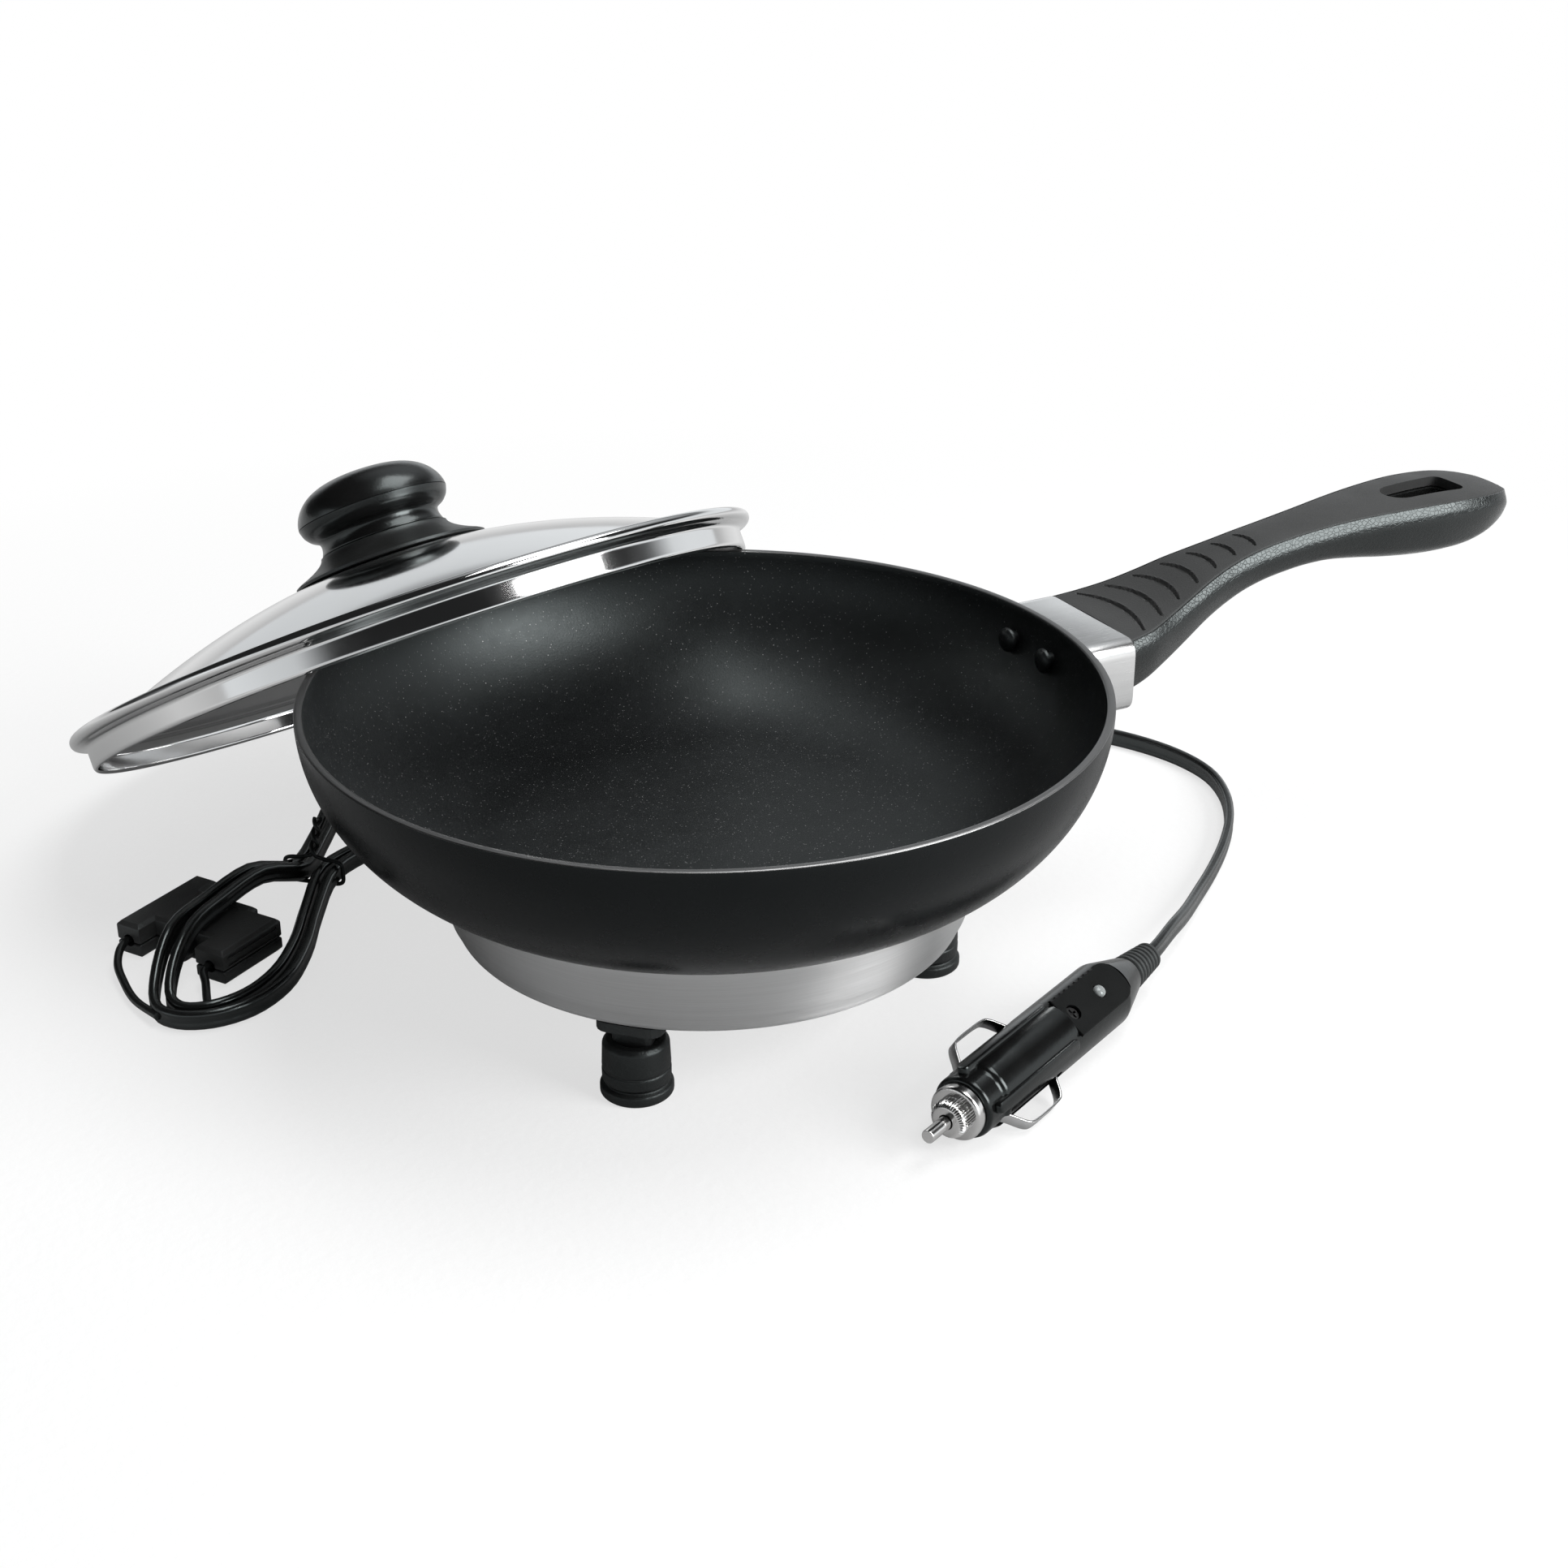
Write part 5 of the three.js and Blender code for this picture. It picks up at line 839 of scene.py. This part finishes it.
GRIP_START = 138.3
GRIP_END = 306
GRIP_HALF = 24.8
GRIP_EDGE = 2.6
POCKET_END = 302.9
STATIONS = [
    0, 0.055, 0.11, 0.165, 0.22, 0.27, 0.32, 0.37, 0.42, 0.47,
    0.53, 0.6, 0.67, 0.74, 0.8, 0.86, 0.91, 0.95, 0.98, 1,
]
HALF_WIDTHS = [
    1, 0.935, 0.82, 0.715, 0.62, 0.545, 0.495, 0.475, 0.475, 0.487,
    0.52, 0.578, 0.65, 0.71, 0.745, 0.745, 0.71, 0.62, 0.47, 0.2,
]
TOPS = [
    0, 0.06, 0.17, 0.31, 0.46, 0.57, 0.66, 0.735, 0.79, 0.84,
    0.89, 0.94, 0.97, 0.99, 1, 0.995, 0.98, 0.955, 0.92, 0.88,
]
THICKNESSES = [
    1, 0.94, 0.88, 0.81, 0.73, 0.67, 0.62, 0.595, 0.585, 0.59,
    0.625, 0.72, 0.81, 0.87, 0.89, 0.86, 0.76, 0.62, 0.46, 0.3,
]


def share_at(shares, x):
    """A smooth line through the station values."""
    along = min(max((x - GRIP_START) / (GRIP_END - GRIP_START), 0), 1)
    k = 0
    while k < len(STATIONS) - 2 and STATIONS[k + 1] < along:
        k += 1

    def slope_at(i):
        low, high = max(i - 1, 0), min(i + 1, len(STATIONS) - 1)
        return (shares[high] - shares[low]) / (STATIONS[high] - STATIONS[low])
    span = STATIONS[k + 1] - STATIONS[k]
    t = (along - STATIONS[k]) / span
    a, b = shares[k], shares[k + 1]
    return (
        a * (2 * t ** 3 - 3 * t ** 2 + 1) + b * (3 * t ** 2 - 2 * t ** 3)
        + span * (slope_at(k) * (t ** 3 - 2 * t ** 2 + t) + slope_at(k + 1) * (t ** 3 - t ** 2))
    )


def grip_size(x):
    """(half width, top, thickness) of the grip at a place along it."""
    half = GRIP_HALF * share_at(HALF_WIDTHS, x)
    return half, 95 + 22.4 * share_at(TOPS, x), 22.8 * share_at(THICKNESSES, x)


def grip_section(x):
    half, top, thick = grip_size(x)
    low = top - thick
    pocket = max(half - GRIP_EDGE, half / 2) + 0.15
    floor = max(top - 3.7, low + thick / 3) if x < POCKET_END else top - 0.9
    crease = max(top - 4.6, low + thick / 2)
    right = rounded([
        (pocket, floor), (pocket, top - 0.85), (pocket + 0.45, top - 0.85),
        (half, crease), (half * 0.96, (crease * 2 + low) / 3),
        (half * 0.83, (crease + low * 4) / 5), (half * 0.5, low), (0, low - 0.05),
    ], 2.6, 5, keep=(0, 1, 2))[:-1]
    left = [(x, -y, z) for y, z in right[::-1]]
    return [(x, y, z) for y, z in right] + [(x, 0, low - 0.02)] + left


def grip_stations(step):
    count = round((GRIP_END - GRIP_START) / step)
    return [GRIP_START + (GRIP_END - GRIP_START) * i / count for i in range(count + 1)]


def hole_tool(inset):
    half = 7.6 - inset
    start, end = 256 + inset + half, 287 - inset
    outline = arc((start, 0), (half * 0.85, half * 0.85), pi / 2, 3 * pi / 2, 12)
    outline += rounded([(start, -half), (end, -half), (end, half), (start, half)], half / 2.2, 6)[1:-1]
    return prism_tool(outline, 70, 130)


body_rings = [grip_section(x) for x in sorted(grip_stations(2.1) + [POCKET_END - 0.1, POCKET_END])]
grip = shaped("grip_body", *lofted(body_rings), PAN, GRIP, 38)
cut(grip, [hole_tool(1.6)], crease=38)
stands_for(grip, "grip_black", "handle_body")

SLIT_FIRST = 147
SLIT_PITCH = 8.6
SLIT_COUNT = 7


def slit_depth(x, y):
    """How far the insert's top is pressed in by a slit, at a place."""
    for i in range(SLIT_COUNT):
        middle = SLIT_FIRST + SLIT_PITCH * i
        if abs(x - middle) > 6:
            continue
        reach = (grip_size(middle)[0] - GRIP_EDGE) * (0.9 - 0.045 * i)
        across = y / reach
        if abs(across) > 1:
            continue
        bow = 5 * reach / GRIP_HALF
        centre = middle + bow * (1 - across * across) - bow / 2
        half = 0.72 * sqrt(1 - across * across * 0.86)
        away = abs(x - centre) / half
        if away < 1:
            return 1 - away ** 4
        if away < 1.6:
            return -0.10 * sin(pi * (away - 1) / 0.6)
    return 0


def insert_ring(x):
    half, top, thick = grip_size(x)
    edge = max(half - GRIP_EDGE, half / 2)
    side = [(edge, max(top - 3.4, top - thick * 0.6)), (edge, top - 1.05), (edge - 0.12, top - 0.86)]
    ring = [(x, -y, z) for y, z in side]
    columns = 46
    for k in range(columns + 1):
        y = (-1 + 2 * k / columns) * (edge - 0.35)
        crown = 0.85 * (abs(y) / edge) ** 2.4
        ring.append((x, y, top - 0.02 - crown * 0.85 - slit_depth(x, y)))
    return ring + [(x, y, z) for y, z in side[::-1]]


insert_rings = [insert_ring(x) for x in grip_stations(0.36) if x < POCKET_END - 0.3]
insert = shaped("grip_insert", *lofted(insert_rings), PAN, INSERT, 40)
cut(insert, [hole_tool(0)], crease=40)
stands_for(insert, "insert_grey", "handle_top_insert")

COLLAR_END = 138
COLLAR_HEIGHT = 83


def collar_rings(inset):
    """Rings at the pan's wall, just before the collar's end and at its eased end."""
    near, before, end = [], [], []
    for y, z in stadium(2 * (GRIP_HALF - inset), 24 - 2 * inset, 1.3 * max(4 - inset, 1.2), 8):
        height = COLLAR_HEIGHT + z
        near.append((sqrt(wall_radius(height) ** 2 - y * y) + 0.25, y, height))
        before.append((COLLAR_END - 0.45, y, height))
        end.append((COLLAR_END, y * 0.995, COLLAR_HEIGHT + z * 0.99))
    return [near, before, end]


collar_skin = lofted(collar_rings(0) + collar_rings(1.2)[::-1], closed=True)
collar = shaped("grip_collar", *collar_skin, PAN, COLLAR_STEEL, 50)
stands_for(collar, "brushed_steel", "handle_collar")

# Lid and its knob

LID_TILT = radians(30.3)
LID_LEAN = radians(102.9)
lid_normal = Vector((
    sin(LID_TILT) * cos(LID_LEAN), sin(LID_TILT) * sin(LID_LEAN), cos(LID_TILT)))
LID_CENTRE = Vector((-110.10, 83.67, 68.44)) - SHIFT
lid_frame = frame_at(LID_CENTRE, UP.rotation_difference(lid_normal))


DOME_RADIUS = 110.5
DOME_RISE = 26.8
LID_HOLE = 3.4
LID_THICKNESS = 0.8
BEAD_PLACE = (119.6, 0)
BEAD_RADIUS = 2.13


def dome(radius):
    return 0.4 + DOME_RISE * (1 - (radius / DOME_RADIUS) ** 2)


def lid_profile():
    reaches = [LID_HOLE + (DOME_RADIUS - LID_HOLE) * i / 40 for i in range(41)]
    outer = [(reach, dome(reach)) for reach in reaches]
    bead = arc(BEAD_PLACE, (BEAD_RADIUS, BEAD_RADIUS), 0.62 * pi, -0.5 * pi, 16)
    bridge = eased([outer[-1], (112.5, -0.1), (116.6, 0.9), bead[0]], 2.2, 5)[1:-1]
    skirt = eased([
        bead[-1], (117.9, -2.6), (117.1, -3.4), (117.1, -10.0), (116.4, -10.9), (115.5, -10.3),
        (115.7, -4.2), (114.6, -1.7), (111.6, -1.2), (110.4, -0.4),
    ], 0.9)[1:]
    inner = [(reach, height - LID_THICKNESS) for reach, height in outer[::-1]]
    return outer + bridge + bead + skirt + inner


lid = lathe("lid_dome", lid_profile(), 220, lid_frame, LID_STEEL, True, body="lid", crease=40)
stands_for(lid, "polished_steel", "lid_shell")

KNOB_BORE = 2.7
BASE_RADIUS = 34
SEAT_HEIGHT = dome(0) + SEAT
BASE_LOW = dome(BASE_RADIUS) + SEAT
BASE_TOP = SEAT_HEIGHT + 6.4
base_line = [
    (KNOB_BORE, SEAT_HEIGHT), (17, dome(17) + SEAT), (33.2, dome(33.2) + SEAT),
    (BASE_RADIUS, BASE_LOW + 0.5), (BASE_RADIUS, BASE_LOW + 1.4),
]
for i in range(1, 17):
    along = i / 16
    height = BASE_LOW + 1.6 + (BASE_TOP - BASE_LOW - 1.6) * along
    base_line.append((22.6 + 11.4 * (1 - along) ** 1.7, height))
base_line += [(22.2, BASE_TOP), (KNOB_BORE, BASE_TOP)]
base = lathe("knob_foot", base_line, 120, lid_frame, KNOB_MATTE, True, body="lid")
stands_for(base, "knob_black", "knob_base")

KNOB_LOW = BASE_TOP + SEAT
KNOB_FLARE = KNOB_LOW + 5.6
KNOB_SEAM = KNOB_FLARE + 5.61
KNOB_RADIUS = 26.5
BORE_TOP = SEAT_HEIGHT + 22.3
knob_line = [(KNOB_BORE, KNOB_LOW)] + eased([
    (20.9, KNOB_LOW), (22.0, KNOB_LOW), (21.2, KNOB_LOW + 1.8), (20.9, KNOB_LOW + 3.6),
    (21.3, KNOB_FLARE - 0.5), (24.0, KNOB_FLARE + 0.9), (25.7, KNOB_FLARE + 2.9),
    (26.4, KNOB_SEAM - 0.5), (KNOB_RADIUS, KNOB_SEAM - 0.12),
], 0.9)
knob_line += [(26.2, KNOB_SEAM), (KNOB_RADIUS, KNOB_SEAM + 0.12)]
for i in range(1, 25):
    angle = pi / 2 * i / 24
    knob_line.append((KNOB_RADIUS * cos(angle) ** 0.62, KNOB_SEAM + 0.12 + 13 * sin(angle) ** 1.15))
knob_line += [(0, BORE_TOP), (KNOB_BORE, BORE_TOP), (KNOB_BORE, KNOB_LOW)]
knob = lathe("knob_cap", knob_line, 140, lid_frame, KNOB_GLOSS, body="lid", crease=40)
stands_for(knob, "knob_black", "lid_knob")

# Inline fuse box: an H of two half shells

FUSE_PLACE = Vector((-131.6, 93.4, 0))
FUSE_TURN = Quaternion(UP, radians(32))
FUSE_FRAME = frame_at(FUSE_PLACE, FUSE_TURN)
FUSE_MIDDLE = 6
WIRE_OUT = 17.3
WIRE_IN = -16.25
FUSE_END = 22
FUSE_SIDE = 18.5
FUSE_BAR = 11
BAR_LOW, BAR_HIGH = -10.5, 12.6
FUSE_OUTLINE = [
    (-FUSE_SIDE, FUSE_END), (-FUSE_SIDE, BAR_HIGH), (-FUSE_BAR, BAR_HIGH), (-FUSE_BAR, BAR_LOW),
    (-FUSE_SIDE, BAR_LOW), (-FUSE_SIDE, -FUSE_END), (8.5, -FUSE_END), (8.5, BAR_LOW),
    (FUSE_BAR, BAR_LOW), (FUSE_BAR, BAR_HIGH), (FUSE_SIDE, BAR_HIGH), (FUSE_SIDE, FUSE_END),
]


def cross_bar(radius, start, end, y):
    points, faces = spun([(0, start), (radius, start), (radius, end), (0, end)], 32)
    return tool([(z, y + a, FUSE_MIDDLE + b) for a, b, z in points], faces, FUSE_FRAME)


def fuse_half(name, node, levels):
    half = shaped(name, *lofted(extruded(FUSE_OUTLINE, levels)), FUSE_FRAME, FUSE_PLASTIC, 30)
    tools = [
        cross_bar(2.9, -13, 6.3, 0),
        cross_bar(2.1, -30, -13.5, WIRE_OUT),
        cross_bar(2.1, -30, -13.5, WIRE_IN),
        prism_tool(stadium(14, 15, 3), 11.5, 14, FUSE_FRAME),
    ]
    upright = Matrix.Rotation(pi / 2, 4, "X")
    for height in (6.8, 9.4):
        end_frame = FUSE_FRAME @ Matrix.Translation(Vector((0, -FUSE_END, height)) * MM) @ upright
        tools.append(prism_tool(stadium(22.6, 1, 0.4, 3, -5), -0.5, 0.5, end_frame))
    bevel = half.modifiers.new("edges", "BEVEL")
    bevel.width = 0.45 * MM
    bevel.segments = 2
    bevel.limit_method = "ANGLE"
    bevel.angle_limit = radians(28)
    apply_all(half)
    cut(half, tools, crease=30)
    stands_for(half, "fuse_grey", node)
    return half


fuse_top = fuse_half(
    "fuse_shell_top", "fuse_box_upper", [(5.5, 0.35), (5.85, 0), (10.8, 0), (FUSE_HEIGHT, 1.2)])
fuse_bottom = fuse_half(
    "fuse_shell_bottom", "fuse_box_lower", [(SEAT, 1.2), (1.5, 0), (4.85, 0), (5.2, 0.35)])
cap_line = eased([(0, -16), (3.9, -16), (4.6, -15.2), (4.6, -11.3)], 0.6)
cap_line += [(2.6, -11.3), (2.6, -9.3), (0, -9.3)]
cap_points, cap_faces = spun(cap_line, 48, flute=lambda k, i: -0.25 if i % 8 < 2 and 1 < k < 12 else 0)
cap_points = [(z, y, FUSE_MIDDLE + x) for x, y, z in cap_points]
cap = shaped("fuse_end_cap", cap_points, cap_faces, FUSE_FRAME, FUSE_PLASTIC)
stands_for(cap, "fuse_grey", "fuse_cap")

WIRE_RADIUS = 1.3
for name, y, turn, inward, between, joins in (
    ("out", WIRE_OUT, 530, -1, [(-162.6, 89, 4.2), (-163.5, 78, 2.8), (-163.1, 67, 2.3)], (1.4,)),
    ("in", WIRE_IN, 195, 1, [(-142.1, 62.9, 4.6)], (4.4, 1.1)),
):
    start = [FUSE_TURN @ Vector((x, y, FUSE_MIDDLE)) + FUSE_PLACE for x in (-10.8, -21)]
    end = hank_point(radians(turn))
    ahead = hank_point(radians(turn + 3.75))
    out = UP.cross(ahead - end).normalized() * inward
    line = smooth_route(start + between + [end + out * gap for gap in joins], 8)
    rings = swept(line, round_section(WIRE_RADIUS, 14))
    wire = shaped(f"fuse_lead_{name}", *lofted(rings), PAN, CORD, 60)
    stands_for(wire, "cord_grey", f"fuse_wire_{name}")

# Socket plug, drawn from its tip along X

PLUG_FRAME = frame_at(PLUG_TIP, Quaternion(UP, PLUG_TURN) @ Quaternion(ROUND_X, PLUG_ROLL))
TURNED_FRAME = PLUG_FRAME @ Matrix(((0, 0, 1, 0), (0, 1, 0, 0), (-1, 0, 0, 0), (0, 0, 0, 1)))


def plug_lathe(name, node, profile, steps, material, slot, flute=None, body="skillet"):
    points, faces = spun(profile, steps, flute=flute)
    made = shaped(name, points, faces, TURNED_FRAME, material, 35, body)
    stands_for(made, slot, node)
    return made


pin_line = eased([(0, 0), (1.9, 0), (2, 0.3), (2, 17), (0, 17)], 0.35)
plug_pin = plug_lathe("plug_tip_pin", "plug_pin", pin_line, 40, PLATED, "nickel", body="pin")


def nose_flute(k, i):
    return -0.28 if i % 3 == 0 and 4 <= k <= 16 else 0


nose_line = eased([(2.3, 9), (4.4, 9), (5.6, 10.2), (5.6, 13.4)], 0.7)[:-1]
nose_line += [(5.6, 12.6), (5.55, 13.5)]
nose_line += eased([(5.5, 13.6), (7.7, 13.6), (8.2, 14.3), (8.2, 16.9), (2.3, 16.9)], 0.5)
nose = plug_lathe("plug_nose", "plug_nose_cap", nose_line, 126, PLATED, "nickel", nose_flute)

PLUG_RADIUS = 10.4
body_line = eased([
    (0, 17.2), (8.7, 17.2), (9.4, 18.1), (9.4, 24.7), (PLUG_RADIUS, 26), (PLUG_RADIUS, 94),
    (5.8, 109), (0, 109),
], 0.8)
plug_body = shaped("plug_shell", *spun(body_line, 110), TURNED_FRAME, PLUG_GLOSS, 30)


def on_plug(points, roll):
    """Points drawn on the plug's top, rolled round its length."""
    turn = Quaternion(ROUND_X, roll)
    return [turn @ Vector(p) for p in points]


def plug_prism(outline, levels, roll=0):
    points, faces = lofted(extruded(outline, levels))
    return tool(on_plug(points, roll), faces, PLUG_FRAME)


LAMP_PLACE = 84
SCREW_PLACE = 69
SCREW_WELL = 2.5
PLUG_CLEAR = PLUG_RADIUS + 2
ribs = []
slots = []
for side in (-1, 1):
    rib = stadium(43.1, 3.6, 1.7, along=41.25)
    rib_levels = [(8.4, 0), (10.9, 0), (11.25, 0.2), (PLUG_RADIUS + 1, 0.6)]
    ribs.append(plug_prism(rib, rib_levels, side * pi / 4))
    slot = stadium(32, 5.4, 2.5, along=40)
    slots.append(plug_prism(slot, [(5, 0), (PLUG_CLEAR, 0)], side * pi / 2))
cut(plug_body, ribs, "UNION", 30)
bay = plug_prism(stadium(32.5, 14.6, 0.6, 3, 80.75), [(8.2, 0), (PLUG_CLEAR, 0)])
well = plug_prism(round_section(SCREW_WELL, 28, SCREW_PLACE), [(3.8, 0), (9, 0)])
pin_way = tool(*spun([(0, 15), (2.3, 15), (2.3, 20.3), (0, 20.3)], 32), TURNED_FRAME)
cut(plug_body, slots + [bay, well, pin_way], crease=30)
stands_for(plug_body, "knob_black", "plug_body")


def panel_outline():
    """A plate with a round end and a scalloped side."""
    front, back, half, scallops = 64.8, 96.7, 7, 9
    bend = back - half
    corners = [Vector(p) for p in ((bend, -half), (back, -half), (back, 0), (back, half), (bend, half))]
    line = [Vector((front, -half)), corners[0]]
    for a, b, c in (corners[:3], corners[2:]):
        for k in range(1, 17):
            t = k / 16
            line.append(a * (1 - t) ** 2 + b * 2 * t * (1 - t) + c * t * t)
    pitch = (bend - front) / scallops
    for i in range(scallops):
        for k in range(1, 6):
            t = k / 5
            line.append(Vector((bend - pitch * i - pitch * t, half - 0.55 * sin(pi * t))))
    return line


panel_skin = lofted(extruded(panel_outline(), [(8.5, 0), (9.2, 0), (9.4, 0.2)]))
panel = shaped("plug_panel_plate", *panel_skin, PLUG_FRAME, PANEL_SATIN, 30)
holes = [round_section(2.3, 32, LAMP_PLACE), round_section(SCREW_WELL, 32, SCREW_PLACE)]
cut(panel, [plug_prism(hole, [(8, 0), (10, 0)]) for hole in holes], crease=30)
stands_for(panel, "grip_black", "plug_panel")

lens_line = [(0, 8.5), (2, 8.5)] + arc((0, 9.3), (2, 1.2), 0, pi / 2, 8)
lens_frame = PLUG_FRAME @ Matrix.Translation((LAMP_PLACE * MM, 0, 0))
lens = lathe("plug_lamp_lens", lens_line, 40, lens_frame, LENS)
stands_for(lens, "lamp_lens", "plug_lamp")

strip_curve = rounded([
    (25.5, 8.2), (27.4, 9.4), (31.3, 15.2), (34.5, 15.8),
    (45.5, 15.8), (48.7, 15.2), (52.6, 9.4), (54.5, 8.2),
], 3.4, 8)
strip_line = [Vector((x, 0, z)) for x, z in strip_curve]
strip_points, strip_faces = lofted(swept(strip_line, stadium(4, 0.6, 0.18, 2), Vector((0, 1, 0))))
for number, side, rider in ((1, 1, "contact_left"), (2, -1, "contact_right")):
    turned = on_plug(strip_points, -side * pi / 2)
    contact = shaped(f"contact_strip_{number}", turned, strip_faces, PLUG_FRAME, SPRING_STRIP, 40, rider)
    stands_for(contact, "nickel", f"plug_contact_{number}")

relief_line = [(0, 109.3), (4.8, 109.3)] + ringed(109.4, 124.2, 5.9, 4.4, 7, 0.75) + [(0, 124.3)]
relief = plug_lathe("plug_cord_relief", "plug_relief", relief_line, 44, RELIEF_RUBBER, "rubber_black")

# Floor, light and background

floor_mesh = bpy.data.meshes.new("floor")
floor_mesh.from_pydata([(-8, -8, 0), (8, -8, 0), (8, 8, 0), (-8, 8, 0)], [], [[0, 1, 2, 3]])
floor = placed("floor", floor_mesh)
paper = Finish("floor_paper", gray(0.86), 0.8, carried=True)
paper.bump(paper.noise(300, 3), 0.0002)
paper.color(paper.blend(paper.noise(6, 3), gray(0.87), gray(0.84)))
WHITE = (1, 1, 1, 1)
rays = paper.node("LightPath").outputs
seen = paper.math("MAXIMUM", rays["Is Camera Ray"], rays["Is Transmission Ray"])
far = paper.node("VectorMath", {"operation": "LENGTH"}, i0=paper.place).outputs["Value"]
# In glossy rays the floor is mostly a plain emission that is dimmer near the pan: painted shade round the
# pan in reflections.
painted_shade_floor = paper.node("Emission", Color=WHITE, Strength=paper.ramp(far, 0.25, 0.60, 0.12, 0.9)).outputs[0]
glow = paper.node("Emission", Color=WHITE, Strength=1.0).outputs[0]
in_mirrors = paper.times(rays["Is Glossy Ray"], 0.6)
mirrored = paper.mixed(in_mirrors, paper.shader.outputs[0], painted_shade_floor)
whole = paper.mixed(paper.times(seen, paper.ramp(far, 0.20, 0.60, 0.68, 1)), mirrored, glow)
paper.tree.links.new(whole, paper.tree.nodes["Material Output"].inputs["Surface"])
floor_mesh.materials.append(paper.material)

# The room: a band of walls, pale on the right and dark behind the camera, with a soft glow far right

world = bpy.data.worlds.new("studio")
bpy.context.scene.world = world
world.use_nodes = True
sky = Nodes(world.node_tree)
sky.tree.nodes.clear()
sight = sky.node("TexCoord").outputs["Generated"]


def facing(way):
    return sky.node("VectorMath", {"operation": "DOT_PRODUCT"}, i0=sight, i1=way).outputs["Value"]


across = sky.node("SeparateXYZ", Vector=sight).outputs
turn_round = sky.math("ARCTAN2", across["Y"], across["X"])
walls = sky.node("ValToRGB", Fac=sky.ramp(turn_round, -pi, pi))
stops = ((0, 0.35), (0.06, 0.1), (0.1, 0.03), (0.19, 0.03), (0.24, 0.15), (0.29, 0.5), (0.5, 0.25),
         (0.667, 0.3), (0.72, 0.08), (0.78, 0.01), (0.875, 0.01), (0.93, 0.15), (1, 0.35))
elements = walls.color_ramp.elements
for spot, shade in stops:
    stop = elements[0] if spot == 0 else elements[-1] if spot == 1 else elements.new(spot)
    stop.color = (shade, shade, shade, 1)
band = sky.times(sky.ramp(across["Z"], 0.15, 0.38, 1.1, 0.0), walls.outputs["Color"])
behind = sky.ramp(facing((-0.643, 0.766, 0)), 0.76, 0.9, 1.0, 0.03)
low_band = sky.times(sky.ramp(across["Z"], 0.22, 0.31, 0.72, 0.0), behind)
far_glow = sky.ramp(facing((0.4545, 0.4545, 0.766)), 0.80, 1.0, 0.02, 0.7)
level = sky.plus(sky.plus(band, low_band), far_glow)
ROOM_TINT = (0.95, 0.98, 1, 1)
rays = sky.node("LightPath").outputs
room = sky.node("Background", Color=ROOM_TINT, Strength=level).outputs[0]
ambient = sky.node("Background", Color=ROOM_TINT, Strength=0.12).outputs[0]
white = sky.node("Background", Color=WHITE, Strength=1.0).outputs[0]
seen_room = sky.mixed(rays["Is Glossy Ray"], ambient, room)
sky.node("OutputWorld", Surface=sky.mixed(rays["Is Camera Ray"], seen_room, white))


def lamp(name, place, target, size, power):
    data = bpy.data.lights.new(name, "AREA")
    data.shape = "RECTANGLE"
    data.size, data.size_y = size
    data.energy = power
    aimed(name, data, place, Vector(target) - Vector(place))


lamp("top_softbox", (0.40, -0.16, 1.42), (-0.05, -0.05, 0.05), (1.1, 0.9), 19)
lamp("key_softbox", (0.80, -1.19, 0.82), (-0.075, -0.07, 0.09), (0.9, 0.8), 30)

bpy.context.scene.view_settings.view_transform = "Standard"
